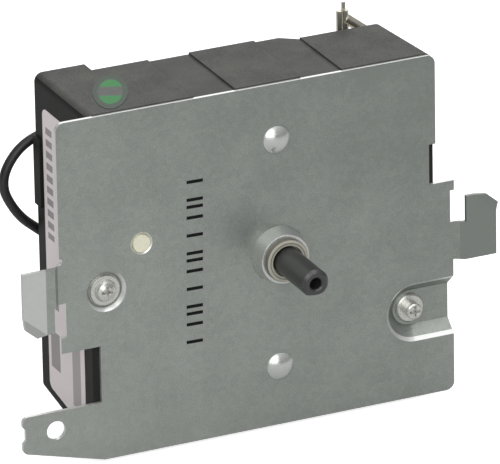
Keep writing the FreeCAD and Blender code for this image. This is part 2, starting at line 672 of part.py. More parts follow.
def gear_shape(teeth, module, width, front, phase, bore=0.0):
    """A spur gear about the Y axis, a tooth pointing along phase, flanks from the involute."""
    pitch = teeth * module / 2
    angle = math.radians(mm("pressure_angle"))
    base = pitch * math.cos(angle)
    root = pitch - 1.15 * module
    tip = pitch + 0.8 * module
    half_tooth = (0.5 - mm("backlash")) * math.pi / teeth

    def half_at(radius):
        slope = math.acos(min(1.0, base / radius))
        return half_tooth + (math.tan(angle) - angle) - (math.tan(slope) - slope)

    radii = [root, max(base, pitch - 0.5 * module), pitch, tip]
    halves = [half_at(max(base, radius)) for radius in radii]
    points = []
    for tooth in range(int(teeth)):
        middle = phase + tooth * 2 * math.pi / teeth
        flank = list(zip(radii, halves))
        for radius, half in flank:
            points.append((radius, middle - half))
        for radius, half in reversed(flank):
            points.append((radius, middle + half))
    corners = [Vector(radius * math.cos(turn), front, radius * math.sin(turn)) for radius, turn in points]
    face = Part.Face(Part.makePolygon(corners + corners[:1]))
    gear = face.extrude(Vector(0, width, 0))
    if bore:
        gear = gear.cut(bar(bore, front - 1, front + width + 1))
    return gear


def bar(radius, front, back):
    """A round bar along the Y axis."""
    return Part.makeCylinder(radius, back - front, Vector(0, front, 0), Vector(0, 1, 0))


def ring(inner, outer, front, back):
    return bar(outer, front, back).cut(bar(inner, front, back))


def mesh_phase(from_centre, to_centre, teeth, gap):
    """The angle of a tooth, or of a gap, that faces the other gear."""
    facing = math.atan2(to_centre[1] - from_centre[1], to_centre[0] - from_centre[0])
    return facing + (math.pi / teeth if gap else 0.0)


def gear_centres():
    """The places of the gear axes across the case, as X and Z."""
    drive = (-mm("drive_across"), mm("drive_up"))
    reach = mm("wheel_module * (drive_wheel_teeth + output_pinion_teeth) / 2")
    down = math.radians(mm("output_bearing"))
    output = (drive[0] + reach * math.cos(down), drive[1] - reach * math.sin(down))
    rotor = (-mm("motor_across"), -mm("motor_down"))
    to_rotor = mm("fine_module * (rotor_pinion_teeth + idler_wheel_teeth) / 2")
    to_output = mm("fine_module * (idler_pinion_teeth + output_wheel_teeth) / 2")
    apart = math.dist(rotor, output)
    along = (to_rotor ** 2 - to_output ** 2 + apart ** 2) / (2 * apart)
    aside = math.sqrt(to_rotor ** 2 - along ** 2)
    unit = ((output[0] - rotor[0]) / apart, (output[1] - rotor[1]) / apart)
    idler = (rotor[0] + unit[0] * along + unit[1] * aside, rotor[1] + unit[1] * along - unit[0] * aside)
    return {"shaft": (0.0, 0.0), "drive": drive, "output": output, "idler": idler, "rotor": rotor}


CENTRES = gear_centres()


def at_centre(name):
    return Placement(Vector(CENTRES[name][0], 0, CENTRES[name][1]), Rotation())


def drum_gear():
    module = 2 * math.dist(CENTRES["shaft"], CENTRES["drive"]) / mm("gear_teeth + drive_pinion_teeth")
    phase = mesh_phase(CENTRES["shaft"], CENTRES["drive"], mm("gear_teeth"), gap=False)
    front = mm("gear_front")
    gear = gear_shape(mm("gear_teeth"), module, mm("gear_width"), front, phase, mm("hub_radius + running"))
    keep(formed("gear_on_drum", gear), "drum_gear")


def drive_gear():
    module = 2 * math.dist(CENTRES["shaft"], CENTRES["drive"]) / mm("gear_teeth + drive_pinion_teeth")
    front = mm("gear_front")
    wheel = mm("drive_wheel_front")
    phase = mesh_phase(CENTRES["drive"], CENTRES["shaft"], mm("drive_pinion_teeth"), gap=True)
    pinion = gear_shape(mm("drive_pinion_teeth"), module, mm("drive_pinion_width"), front, phase)
    phase = mesh_phase(CENTRES["drive"], CENTRES["output"], mm("drive_wheel_teeth"), gap=False)
    disc = gear_shape(mm("drive_wheel_teeth"), mm("wheel_module"), mm("drive_wheel_width"), wheel, phase)
    stem = bar(mm("drive_stem"), front, wheel + mm("drive_wheel_width"))
    peg = bar(mm("peg_radius"), -mm("peg_proud"), front)
    pivot = bar(mm("pivot_radius"), wheel, mm("case_back - wall / 2 - play / 2"))
    shape = pinion.multiFuse([disc, stem, peg, pivot]).removeSplitter()
    keep(formed("drive_wheel", shape, at_centre("drive")), "drive_gear")


def output_gear():
    front = mm("drive_wheel_front - play")
    wheel = mm("case_back + motor_plate_thick + play")
    phase = mesh_phase(CENTRES["output"], CENTRES["drive"], mm("output_pinion_teeth"), gap=True)
    pinion = gear_shape(mm("output_pinion_teeth"), mm("wheel_module"), mm("output_pinion_width"), front, phase)
    phase = mesh_phase(CENTRES["output"], CENTRES["idler"], mm("output_wheel_teeth"), gap=True)
    disc = gear_shape(mm("output_wheel_teeth"), mm("fine_module"), mm("output_wheel_width"), wheel, phase)
    stem = bar(mm("output_stem"), front, wheel)
    pivot = bar(mm("output_pivot"), wheel, mm("case_back + motor_plate_thick + gearcase_deep + pole_thick / 2"))
    shape = pinion.multiFuse([disc, stem, pivot]).removeSplitter()
    keep(formed("output_wheel", shape, at_centre("output")), "output_gear")


def idler_front():
    return mm("case_back + motor_plate_thick + play / 2")


def idler_wheel_front():
    """Behind the output wheel, with end play between them."""
    return mm("case_back + motor_plate_thick + play + output_wheel_width + play")


def idler_gear():
    front = idler_front()
    wheel = idler_wheel_front()
    phase = mesh_phase(CENTRES["idler"], CENTRES["output"], mm("idler_pinion_teeth"), gap=False)
    pinion = gear_shape(mm("idler_pinion_teeth"), mm("fine_module"), wheel - front, front, phase)
    phase = mesh_phase(CENTRES["idler"], CENTRES["rotor"], mm("idler_wheel_teeth"), gap=False)
    disc = gear_shape(mm("idler_wheel_teeth"), mm("fine_module"), mm("idler_wheel_width"), wheel, phase)
    bore = bar(mm("axle_radius + running"), front - 1, wheel + mm("idler_wheel_width") + 1)
    shape = pinion.fuse(disc).cut(bore).removeSplitter()
    keep(formed("idler_wheel", shape, at_centre("idler")), "idler_gear")


# Shaft, drum and clutch

def drum_back():
    return "drum_front + track_count * track_width + detent_width"


def control_shaft():
    tip = "-boss_height - bush_proud - shaft_reach"
    shoulder = f"{drum_back()} + play"
    corners = [
        ("tip_hole", f"{tip} + shaft_tip / 2"),
        ("tip_hole + shaft_tip / 2", tip),
        ("shaft_front - shaft_tip", tip),
        ("shaft_front", f"{tip} + shaft_tip"),
        ("shaft_front", "-boss_height - bush_proud"),
        ("bearing_radius", "-boss_height - bush_proud"),
        ("bearing_radius", "sheet + play / 2"),
        ("collar_radius", "sheet + play / 2"),
        ("collar_radius", "sheet + 2 * play"),
        ("shaft_radius", "sheet + 2 * play"),
        ("shaft_radius", shoulder),
        ("journal_radius", shoulder),
        ("journal_radius", f"{shoulder} + journal_long"),
        ("0", f"{shoulder} + journal_long"),
        ("0", f"{tip} + tip_hole_deep"),
        ("tip_hole", f"{tip} + tip_hole_deep"),
    ]
    bar_part = turned("shaft_bar", corners)
    keys = block("shaft_keys", "-key_width / 2", "sheet + 2 * play", "-shaft_radius - key_high", "key_width",
                 f"{drum_back()} - sheet - 2 * play", "2 * (shaft_radius + key_high)")
    solid = fuse("shaft", bar_part, keys)
    flat = block("shaft_flat", "-2 * shaft_radius", tip, "-3 * shaft_radius", "4 * shaft_radius", "flat_long",
                 "3 * shaft_radius - flat_across")
    keep(cut("shaft", solid, flat), "control_shaft")


LAND_GAPS = [
    [(20, 70), (110, 160), (200, 245), (290, 330)],
    [(15, 60), (130, 215), (300, 345)],
    [(25, 75), (120, 150), (180, 250), (285, 335)],
    [(30, 65), (115, 170), (210, 260), (300, 340)],
]


def sector(inner, outer, start, end, front, back):
    """A block between two radii and two angles about the Y axis, angles from +X towards +Z."""
    def spot(radius, degrees):
        turn = math.radians(degrees)
        return Vector(radius * math.cos(turn), front, radius * math.sin(turn))
    middle = (start + end) / 2
    edges = [
        Part.Arc(spot(outer, start), spot(outer, middle), spot(outer, end)).toShape(),
        Part.LineSegment(spot(outer, end), spot(inner, end)).toShape(),
        Part.Arc(spot(inner, end), spot(inner, middle), spot(inner, start)).toShape(),
        Part.LineSegment(spot(inner, start), spot(outer, start)).toShape(),
    ]
    return Part.Face(Part.Wire(edges)).extrude(Vector(0, back - front, 0))


def detent_ring(front, back):
    """A ring whose edge rises and falls, with a valley towards +X."""
    count = int(mm("detent_count"))
    peak = mm("detent_radius")
    corners = []
    for step in range(2 * count):
        radius = peak - mm("detent_deep") if step % 2 == 0 else peak
        turn = math.pi * step / count
        corners.append(Vector(radius * math.cos(turn), front, radius * math.sin(turn)))
    return Part.Face(Part.makePolygon(corners + corners[:1])).extrude(Vector(0, back - front, 0))


def follower_side(track):
    """Tracks 0 and 2 are read from above, 1 and 3 from below."""
    return 90 if track % 2 == 0 else 270


def cam_drum():
    front = mm("drum_front")
    width = mm("track_width")
    tracks = int(mm("track_count"))
    back = mm(drum_back())
    pieces = [detent_ring(front + tracks * width, back)]
    for track in range(tracks):
        pieces.append(bar(mm("track_high"), front + track * width, front + (track + 1) * width))
    drum = bar(mm("hub_radius"), mm("sheet + 2 * play + play / 2"), front + width / 2).multiFuse(pieces)
    for track in range(tracks):
        near = front + track * width
        for start, end in LAND_GAPS[track % len(LAND_GAPS)]:
            turn = follower_side(track) - 90
            gap = sector(mm("track_low"), mm("track_high") + 1, start + turn + 75, end + turn + 75, near, near + width)
            drum = drum.cut(gap)
    drum = drum.cut(ring(mm("drum_core"), mm("drum_web"), back - mm("drum_hollow_deep"), back))
    drum = drum.cut(bar(mm("shaft_radius"), 0, back + 1))
    key_high = mm("shaft_radius + key_high")
    key = Part.makeBox(mm("key_width"), back + 1, 2 * key_high, Vector(-mm("key_width / 2"), 0, -key_high))
    keep(formed("drum", drum.cut(key).removeSplitter()), "cam_drum")


def clutch_spring():
    front = "gear_front + gear_width + running"
    back = "drum_front - running"
    corners = [
        ("clutch_inner", f"{front}"),
        ("clutch_inner", f"{front} + clutch_thick"),
        ("clutch_outer", back),
        ("clutch_outer + clutch_thick", back),
        ("clutch_outer + clutch_thick", f"{back} - clutch_thick"),
        ("clutch_outer", f"{back} - clutch_thick"),
        ("clutch_inner + clutch_thick", front),
    ]
    keep(turned("clutch", corners), "clutch_spring")


# Case

def case_form(name, inset):
    """The case's tapered form with its stepped back, set in by a wall where asked."""
    lean = f"case_lean * (case_low_back - {inset} - sheet) / (case_deep - sheet)"
    corners = [
        (f"-case_left + {inset}", "sheet"),
        (f"case_right - {inset}", "sheet"),
        (f"case_right - {lean} - {inset}", f"case_low_back - {inset}"),
        ("back_step", f"case_low_back - {inset}"),
        ("back_step - back_slope", f"case_back - {inset}"),
        (f"-case_left + end_block - {inset}", f"case_back - {inset}"),
        (f"-case_left + end_block - {inset}", f"case_deep - {inset}"),
        (f"-case_left + {inset}", f"case_deep - {inset}"),
    ]
    host = body(name + "_form")
    plan = outline(host, name + "_plan", "XY_Plane", corners, f"-case_bottom + {inset}")
    pad(host, plan, f"case_top + case_bottom - 2 * {inset}")
    below = f"-case_bottom + {inset}"
    corners = [
        ("sheet", below),
        ("case_deep + 1", f"{below} + case_rise * (case_deep + 1 - sheet) / (case_deep - sheet)"),
        ("case_deep + 1", f"{below} - 1"),
        ("sheet", f"{below} - 1"),
    ]
    slope = outline(host, name + "_slope", "YZ_Plane", corners, "-case_left - 1")
    item = host.newObject("PartDesign::Pocket", name + "_rise")
    item.Profile = slope
    item.Reversed = True
    bind(item, Length="3 * case_left")
    slope.Visibility = False
    DOC.recompute()
    return host, item


def long_edges():
    """A spot on each of the case's four long edges."""
    depth = mm("case_low_back / 2")
    share = (depth - mm("sheet")) / mm("case_deep - sheet")
    right = mm("case_right") - mm("case_lean") * share
    foot = -mm("case_bottom") + mm("case_rise") * share
    left = -mm("case_left")
    top = mm("case_top")
    return [(left, depth, top), (right, depth, top), (right, depth, foot), (left, depth, foot)]


def post(name, x, z, front, length):
    """A screw post with its pilot hole, as a pair of solid and hole."""
    return cylinder(name, "post_radius", length, x, front, z), \
        cylinder(name + "_pilot", "screw_radius", "screw_length + 2", x, front, z)


def housing():
    outer, outer_rise = case_form("outer", "0")
    round_edges(outer, outer_rise, long_edges(), "case_round")
    inner, inner_rise = case_form("inner", "wall")
    shell = cut("case_shell", outer, inner)
    left_post, left_pilot = post("left_post", "-screw_left_across", "-screw_left_down",
                                 "dimple_deep + sheet + play / 2", "post_long")
    right_post, right_pilot = post("right_post", "screw_right_across", "-screw_right_down",
                                   "channel_deep + sheet + play / 2", "post_long")
    shaft_top = f"{drum_back()} + play + play"
    shaft_post = cylinder("shaft_post", "shaft_post", f"case_back - wall / 2 - ({shaft_top})", "0", shaft_top, "0")
    pivot_front = "drive_wheel_front + drive_wheel_width + play"
    drive_post = cylinder("drive_post", "2 * pivot_radius", f"case_back - wall / 2 - ({pivot_front})",
                          "-drive_across", pivot_front, "drive_up")
    clip = block("clip", "-case_left - clip_proud", "case_deep - clip_wide", "clip_top - clip_height",
                 "clip_proud + wall / 2", "clip_wide", "clip_height")
    motor_posts = [cylinder(f"motor_post_{count}", "2.6 * motor_screw / 1.5", "motor_screw_long - motor_plate_thick",
                            f"{x}", "case_back - (motor_screw_long - motor_plate_thick)", f"{z}")
                   for count, (x, z) in enumerate(ear_spots())]
    leaf_post = block("leaf_post", "leaf_across - 1.6", f"{drum_back()} - detent_width + play", "leaf_top - 6",
                      "4", f"case_low_back - wall / 2 - ({drum_back()} - detent_width + play)", "6")
    solid = fuse("case", shell, left_post, right_post, shaft_post, drive_post, clip, leaf_post, *motor_posts)
    bands = [block(f"band_{count}", start, "0", "case_top - band_deep", "band_width", "case_deep + 1",
                   "band_deep + 1") for count, start in enumerate(("band_one", "band_two"))]
    bores = [
        left_pilot,
        right_pilot,
        cylinder("shaft_bearing", "journal_radius + running", "journal_long", "0", shaft_top, "0"),
        cylinder("drive_bearing", "pivot_radius + running", f"case_back - wall / 2 - ({pivot_front})",
                 "-drive_across", pivot_front, "drive_up"),
        cylinder("output_window", "wheel_module * (output_pinion_teeth / 2 + 1) + 2 * play", "2 * wall",
                 str(CENTRES["output"][0]), "case_back - 1.5 * wall", str(CENTRES["output"][1])),
    ]
    pilots = [cylinder(f"motor_pilot_{count}", "motor_screw", "motor_screw_long + 1", f"{x}",
                       "case_back - motor_screw_long", f"{z}") for count, (x, z) in enumerate(ear_spots())]
    slots = [block(f"slot_{count}", *corner, *reach) for count, (corner, reach) in enumerate(tab_slots())]
    leaf_slot = formed("leaf_slot", leaf_shape())
    room = mm("play")
    back = channel_side(mm("plate_right_low") + 5, mm("channel_half + channel_side") + room,
                        mm("channel_floor + 0.7 * sheet") + room, mm("channel_deep + sheet") + room, 0)
    reliefs = [
        formed("channel_relief", back),
        cone("dimple_relief", "dimple_radius + sheet", "dimple_floor + sheet / 2 + play",
             "dimple_deep + sheet + play / 2", "-screw_left_across", "0", "-screw_left_down"),
    ]
    keep(cut("case_finished", solid, *bands, *bores, *pilots, *slots, *reliefs, leaf_slot), "housing")


def side_label():
    x = "-case_left - label_thick"
    host = body("label_body")
    corners = [
        ("label_front", "label_top"),
        ("label_back", "label_top"),
        ("label_back", "-label_foot + label_rise"),
        ("label_front", "-label_foot"),
    ]
    last = pad(host, outline(host, "label_outline", "YZ_Plane", corners, x), "label_thick")
    middle = mm(x) + mm("label_thick") / 2
    spots = [(middle, mm(u), mm(v)) for u, v in corners[:3]]
    round_edges(host, last, spots, "2")
    keep(host, "side_label")


def seal_sticker():
    item = DOC.addObject("Part::Ellipse", "seal_edge")
    bind(item, MajorRadius="seal_long / 2", MinorRadius="seal_wide / 2")
    item.Visibility = False
    solid = DOC.addObject("Part::Extrusion", "seal")
    solid.Base = item
    solid.Dir = Vector(0, 0, 1)
    solid.DirMode = "Custom"
    solid.Solid = True
    bind(solid, LengthFwd="seal_thick")
    turn = Rotation(Vector(0, 0, 1), 90 - mm("seal_turn"))
    keep(place(solid, "-seal_across", "seal_back", "case_top", turn), "seal_sticker")


# Contacts

def tab_slots():
    """Openings in the back for the terminal tabs, as lowest corner and reach."""
    slots = []
    for side in (1, -1):
        back = "case_low_back" if side > 0 else "case_back"
        for across in ("tab_outer", "tab_inner"):
            for level, thick in (("blade_level", "blade_spring"), ("(blade_level + blade_apart)", "blade_fixed")):
                x = f"{side} * {across} - tab_wide / 2 - tab_slot"
                z = f"{side} * {level} - tab_slot" if side > 0 else f"-{level} - {thick} - tab_slot"
                corner = (x, f"{back} - 1.5 * wall", z)
                slots.append((corner, ("tab_wide + 2 * tab_slot", "2 * wall", f"{thick} + 2 * tab_slot")))
    return slots


def blade_middle(track):
    return mm("drum_front") + (track + 0.5) * mm("track_width")


def arm_profile(sprung, thick):
    """The side view of a blade's arm, as X and Z."""
    level = mm("blade_level") if sprung else mm("blade_level + blade_apart")
    start = -mm("blade_reach")
    end = mm("block_far")
    if not sprung:
        return [(start, level), (end, level), (end, level + thick), (start, level + thick)]
    half = mm("nib_half")
    low = mm("track_high + nib_gap")
    under = [(start, level), (-half, level), (-0.5, low), (0.5, low), (half, level), (end, level)]
    over = [(end, level + thick), (half - 0.2, level + thick), (0.3, low + thick), (-0.3, low + thick),
            (-half + 0.2, level + thick), (start, level + thick)]
    return under + over


def blade_shape(track, sprung):
    """One stamped blade: arm, elbow and terminal tab, for the upper bank."""
    thick = mm("blade_spring") if sprung else mm("blade_fixed")
    level = mm("blade_level") if sprung else mm("blade_level + blade_apart")
    middle = blade_middle(track)
    half = mm("blade_width") / 2
    across = mm("tab_outer") if track < 2 else mm("tab_inner")
    corners = [Vector(x, middle - half, z) for x, z in arm_profile(sprung, thick)]
    arm = Part.Face(Part.makePolygon(corners + corners[:1])).extrude(Vector(0, 2 * half, 0))
    reach = across + mm("tab_wide") / 2
    trim = Part.makeBox(100, 100, 100, Vector(reach, 0, 0))
    back = mm("case_low_back") if track % 2 == 0 else mm("case_back")
    end = back + mm("tab_long")
    wide = mm("tab_wide")
    left = across - wide / 2
    tail = [
        Vector(left, middle - half, level),
        Vector(left + wide, middle - half, level),
        Vector(left + wide, end - 1.2, level),
        Vector(left + wide - 1.2, end, level),
        Vector(left + 1.2, end, level),
        Vector(left, end - 1.2, level),
    ]
    tab = Part.Face(Part.makePolygon(tail + tail[:1])).extrude(Vector(0, 0, thick))
    eye = Part.makeCylinder(mm("tab_eye"), 4, Vector(across, end - 3.2, level - 2), Vector(0, 0, 1))
    return arm.cut(trim).fuse(tab).cut(eye).removeSplitter()


def to_bank(shape, track):
    """Tracks 1 and 3 have their blades below the drum: the same blades turned half round."""
    if track % 2 == 0:
        return shape
    return shape.rotated(Vector(), Vector(0, 1, 0), 180)


def contacts():
    blades = []
    buttons = []
    gap = mm("blade_apart") - mm("blade_spring")
    x = -mm("blade_reach") + mm("button_inset")
    for track in range(int(mm("track_count"))):
        for sprung in (True, False):
            kind = "spring_blade" if sprung else "fixed_blade"
            shape = to_bank(blade_shape(track, sprung), track)
            blades.append(shape)
            keep(formed(f"{kind}_form_{track + 1}", shape), f"{kind}_{track + 1}")
        foot = Vector(x, blade_middle(track), mm("blade_level + blade_spring"))
        radius = mm("button_radius")
        for start in (0.0, gap / 2):
            button = Part.makeCylinder(radius, gap / 2, foot + Vector(0, 0, start), Vector(0, 0, 1))
            buttons.append(to_bank(button, track))
    keep(formed("button_forms", Part.makeCompound(buttons)), "contact_buttons")
    return blades


def terminal_blocks(blades):
    near = mm("block_near")
    far = mm("block_far")
    low = mm("block_low")
    high = mm("block_high")
    front = mm("drum_front")
    for name, side, back in (("upper", 1, "case_low_back"), ("lower", -1, "case_back")):
        deep = mm(back) - mm("wall") - mm("play") / 3 - front
        solid = Part.makeBox(far - near, deep, high - low, Vector(near, front, low))
        groove = Part.makeBox(far - near + 2, 1.2, 2.4, Vector(near - 1, front + deep / 2, high - 2.4))
        solid = solid.cut(groove)
        if side < 0:
            solid = solid.rotated(Vector(), Vector(0, 1, 0), 180)
        for blade in blades:
            solid = solid.cut(blade)
        keep(formed(f"block_{name}", solid), f"terminal_block_{name}")


def leaf_shape():
    """The detent spring: a strip held in its post, with a nib that meets the ring."""
    x = mm("leaf_across")
    thick = mm("leaf_thick")
    nib = mm("detent_radius") + 0.15
    top = mm("leaf_top")
    foot = -mm("leaf_foot")
    near = [(x, top), (x, 3.5), (nib, 0.6), (nib, -0.6), (x, -3.5), (x, foot)]
    far = [(x + thick, foot), (x + thick, -3.6), (nib + thick, -0.7), (nib + thick, 0.7), (x + thick, 3.6),
           (x + thick, top)]
    front = mm(f"{drum_back()} - detent_width / 2 - leaf_width / 2")
    corners = [Vector(u, front, v) for u, v in near + far]
    return Part.Face(Part.makePolygon(corners + corners[:1])).extrude(Vector(0, mm("leaf_width"), 0))


def detent_spring():
    keep(formed("detent_leaf", leaf_shape()), "detent_spring")


# Motor

def ear_spots():
    """The two mounting screws, on opposite sides of the motor."""
    reach = mm("can_radius + ear_gap") * math.sqrt(0.5)
    x = -mm("motor_across")
    z = -mm("motor_down")
    return [(x - reach, z + reach), (x + reach, z - reach)]


def motor_plate():
    front = mm("case_back")
    back = front + mm("motor_plate_thick")
    rotor = CENTRES["rotor"]
    plate = bar(mm("can_radius"), front, back).translated(Vector(rotor[0], 0, rotor[1]))
    ears = []
    for x, z in ear_spots():
        ears.append(bar(mm("ear_radius"), front, back).translated(Vector(x, 0, z)))
        reach = math.hypot(x - rotor[0], z - rotor[1])
        neck = Part.makeBox(reach, back - front, 2 * mm("ear_radius"), Vector(0, front, -mm("ear_radius")))
        turn = -math.degrees(math.atan2(z - rotor[1], x - rotor[0]))
        neck = neck.rotated(Vector(), Vector(0, 1, 0), turn).translated(Vector(rotor[0], 0, rotor[1]))
        ears.append(neck)
    plate = plate.multiFuse(ears)
    holes = [bar(mm("motor_screw + screw_hole_gap"), front - 1, back + 1).translated(Vector(x, 0, z))
             for x, z in ear_spots()]
    output = Vector(CENTRES["output"][0], 0, CENTRES["output"][1])
    holes.append(bar(mm("output_stem + running"), front - 1, back + 1).translated(output))
    for name in ("idler", "rotor"):
        spot = Vector(CENTRES[name][0], 0, CENTRES[name][1])
        holes.append(bar(mm("axle_radius"), front - 1, back + 1).translated(spot))
    for hole in holes:
        plate = plate.cut(hole)
    keep(formed("motor_face", plate.removeSplitter()), "motor_plate")


def motor_can():
    front = "case_back + motor_plate_thick"
    back = f"{front} + can_long"
    corners = [
        ("can_radius", front),
        ("can_radius", f"{back} - can_round"),
        ("can_radius - 0.3 * can_round", f"{back} - 0.3 * can_round"),
        ("can_radius - can_round", back),
        ("axle_radius", back),
        ("axle_radius", f"{back} - can_wall"),
        ("can_radius - can_round - can_wall / 2", f"{back} - can_wall"),
        ("can_radius - can_wall - 0.3 * can_round", f"{back} - can_wall - 0.3 * can_round"),
        ("can_radius - can_wall", f"{back} - can_round - can_wall / 2"),
        ("can_radius - can_wall", front),
    ]
    can = turned("can", corners, "-motor_across", "-motor_down")
    windows = [block(f"lead_window_{count}", x, "lead_level - lead_radius - play",
                     "-motor_down - lead_radius - play", "can_wall * 3", "2 * (lead_radius + play)",
                     "2 * (lead_radius + play)")
               for count, x in enumerate(("-motor_across - can_radius - can_wall",
                                          "-motor_across + can_radius - 2 * can_wall"))]
    keep(cut("can_finished", can, *windows), "motor_can")


def lead_grommets():
    """Two moulded grommets, one each side of the can, each with the hole for its lead."""
    rotor = CENTRES["rotor"]
    wide = mm("grommet_wide")
    level = mm("lead_level")
    reach = mm("can_radius + grommet_long")
    can = bar(mm("can_radius"), level - wide, level + wide).translated(Vector(rotor[0], 0, rotor[1]))
    window = mm("lead_radius + play")
    plug_deep = mm("can_wall") / 2
    solids = []
    for side in (-1, 1):
        start = rotor[0] + (side * reach if side < 0 else 0)
        solid = Part.makeBox(reach, wide, wide, Vector(start, level - wide / 2, rotor[1] - wide / 2)).cut(can)
        hole = Part.makeCylinder(mm("lead_radius"), reach, Vector(rotor[0], level, rotor[1]), Vector(side, 0, 0))
        depth = reach - mm("grommet_long") / 2
        solids.append(solid.cut(hole.cut(Part.makeBox(
            depth, wide, wide, Vector(rotor[0] - (depth if side < 0 else 0), level - wide / 2, rotor[1] - wide / 2)))))
    keep(formed("grommets", Part.makeCompound(solids)), "lead_grommets")


def motor_screws():
    seat = mm("case_back + motor_plate_thick")
    solids = []
    for x, z in ear_spots():
        shank = bar(mm("motor_screw"), seat - mm("motor_screw_long"), seat)
        head = bar(mm("motor_screw_head"), seat, seat + mm("motor_screw_high"))
        width = mm("cross_width")
        deep = mm("cross_deep")
        back = seat + mm("motor_screw_high")
        slots = [Part.makeBox(4 * width, deep, width, Vector(-2 * width, back - deep, -width / 2)),
                 Part.makeBox(width, deep, 4 * width, Vector(-width / 2, back - deep, -2 * width))]
        screw = shank.fuse(head).cut(slots[0]).cut(slots[1]).removeSplitter()
        solids.append(screw.translated(Vector(x, 0, z)))
    keep(formed("ear_screws", Part.makeCompound(solids)), "motor_screws")


def pole_front():
    return "case_back + motor_plate_thick + gearcase_deep"


def pole_plate():
    """A stamped disc with claws bent back round the rotor, and a hole for the output gear's journal."""
    front = mm(pole_front())
    back = front + mm("pole_thick")
    inner = mm("pole_inner")
    plate = ring(inner, mm("can_radius - can_wall - play"), front, back)
    claws = []
    for count in range(int(mm("pole_count"))):
        middle = 360 / mm("pole_count") * count
        claws.append(sector(inner, inner + mm("pole_thick"), middle - mm("claw_half"), middle + mm("claw_half"),
                            front, back + mm("claw_long")))
    plate = plate.multiFuse(claws)
    spot = Vector(CENTRES["output"][0] - CENTRES["rotor"][0], 0, CENTRES["output"][1] - CENTRES["rotor"][1])
    plate = plate.cut(bar(mm("output_pivot + running"), front - 1, back + 1).translated(spot))
    idler = Vector(CENTRES["idler"][0] - CENTRES["rotor"][0], 0, CENTRES["idler"][1] - CENTRES["rotor"][1])
    plate = plate.cut(bar(mm("axle_radius"), front - 1, back + 1).translated(idler))
    keep(formed("poles", plate.removeSplitter(), at_centre("rotor")), "pole_plate")


def coil():
    front = f"{pole_front()} + pole_thick"
    back = "case_back + motor_plate_thick + can_long - can_wall - play"
    bobbin = [
        ("bobbin_inner", front),
        ("can_radius - can_wall - bobbin_gap", front),
        ("can_radius - can_wall - bobbin_gap", f"{front} + bobbin_wall"),
        ("bobbin_inner + bobbin_wall", f"{front} + bobbin_wall"),
        ("bobbin_inner + bobbin_wall", f"{back} - bobbin_wall"),
        ("can_radius - can_wall - bobbin_gap", f"{back} - bobbin_wall"),
        ("can_radius - can_wall - bobbin_gap", back),
        ("bobbin_inner", back),
    ]
    keep(turned("bobbin", bobbin, "-motor_across", "-motor_down"), "coil_bobbin")
    winding = [
        ("bobbin_inner + bobbin_wall", f"{front} + bobbin_wall"),
        ("can_radius - can_wall - winding_gap", f"{front} + bobbin_wall"),
        ("can_radius - can_wall - winding_gap", f"{back} - bobbin_wall"),
        ("bobbin_inner + bobbin_wall", f"{back} - bobbin_wall"),
    ]
    keep(turned("winding", winding, "-motor_across", "-motor_down"), "coil_winding")


def rotor():
    front = idler_wheel_front() - mm("play") / 2
    middle = mm(f"{pole_front()} + pole_thick / 2")
    back = middle + mm("magnet_long")
    phase = mesh_phase(CENTRES["rotor"], CENTRES["idler"], mm("rotor_pinion_teeth"), gap=True)
    pinion = gear_shape(mm("rotor_pinion_teeth"), mm("fine_module"), middle - front, front, phase)
    hub = bar(mm("magnet_bore"), middle, back)
    bore = bar(mm("axle_radius + running"), front - 1, back + 1)
    keep(formed("hub", pinion.fuse(hub).cut(bore).removeSplitter(), at_centre("rotor")), "rotor_hub")
    magnet = ring(mm("magnet_bore"), mm("magnet_radius"), middle, back)
    keep(formed("magnet", magnet, at_centre("rotor")), "rotor_magnet")


def axles():
    front = "case_back + play"
    keep(cylinder("rotor_pin", "axle_radius", f"motor_plate_thick + can_long - play", "-motor_across", front,
                  "-motor_down"), "rotor_axle")
    keep(formed("idler_pin", bar(mm("axle_radius"), mm(front), mm(f"{pole_front()} + pole_thick")),
                at_centre("idler")), "idler_axle")


# Leads

def crimp_start():
    """Where the upper connector's slanted barrel begins."""
    return Vector(mm("tab_outer") + 0.5, mm("case_low_back") + 6, mm("upright_top") - 2.2)


def crimp_direction():
    slant = math.radians(mm("crimp_turn"))
    return Vector(math.cos(slant), 0, -math.sin(slant))


# Bends of the leads: across, behind the level of the grommets, up

LONG_BENDS = [
    (46.0, -4.6, 34.5),
    (43.5, -1.6, 25.5),
    (34.0, 1.4, 21.0),
    (20.0, 1.4, 23.5),
    (3.0, 0.8, 26.5),
    (-15.0, 0.2, 26.0),
    (-31.0, -0.2, 27.5),
    (-44.0, -0.2, 28.6),
    (-53.5, -0.2, 25.5),
    (-59.0, -0.2, 16.5),
    (-54.5, -0.2, 7.2),
    (-48.5, -0.1, 2.0),
    (-44.0, 0.0, -1.6),
]

SHORT_BENDS = [
    (24.4, -5.6, 7.5),
    (22.5, -1.6, 0.6),
    (18.0, 0.0, -1.7),
]


def bends(places):
    """The bends at their depth behind the case."""
    return [Vector(x, mm("lead_level") + y, z) for x, y, z in places]


def long_route():
    """The lead that loops out at the left: from the upper connector, over the motor, to its grommet."""
    start = crimp_start() + crimp_direction() * mm("crimp_long")
    straight = start + crimp_direction() * mm("lead_straight")
    exit_x = -mm("motor_across + can_radius + grommet_long")
    grommet = Vector(exit_x, mm("lead_level"), -mm("motor_down"))
    return [start, straight] + bends(LONG_BENDS) + [grommet]


def short_route():
    """The lead from the lower connector to the grommet on the motor's right."""
    exit_x = -mm("motor_across") + mm("can_radius + grommet_long")
    back = mm("case_low_back + barrel_behind")
    foot = mm("blade_level - receptacle_high - barrel_drop")
    start = Vector(mm("tab_inner"), back, foot)
    straight = start - Vector(0, 0, mm("barrel_straight"))
    grommet = Vector(exit_x, mm("lead_level"), -mm("motor_down"))
    return [start, straight] + bends(SHORT_BENDS) + [grommet]


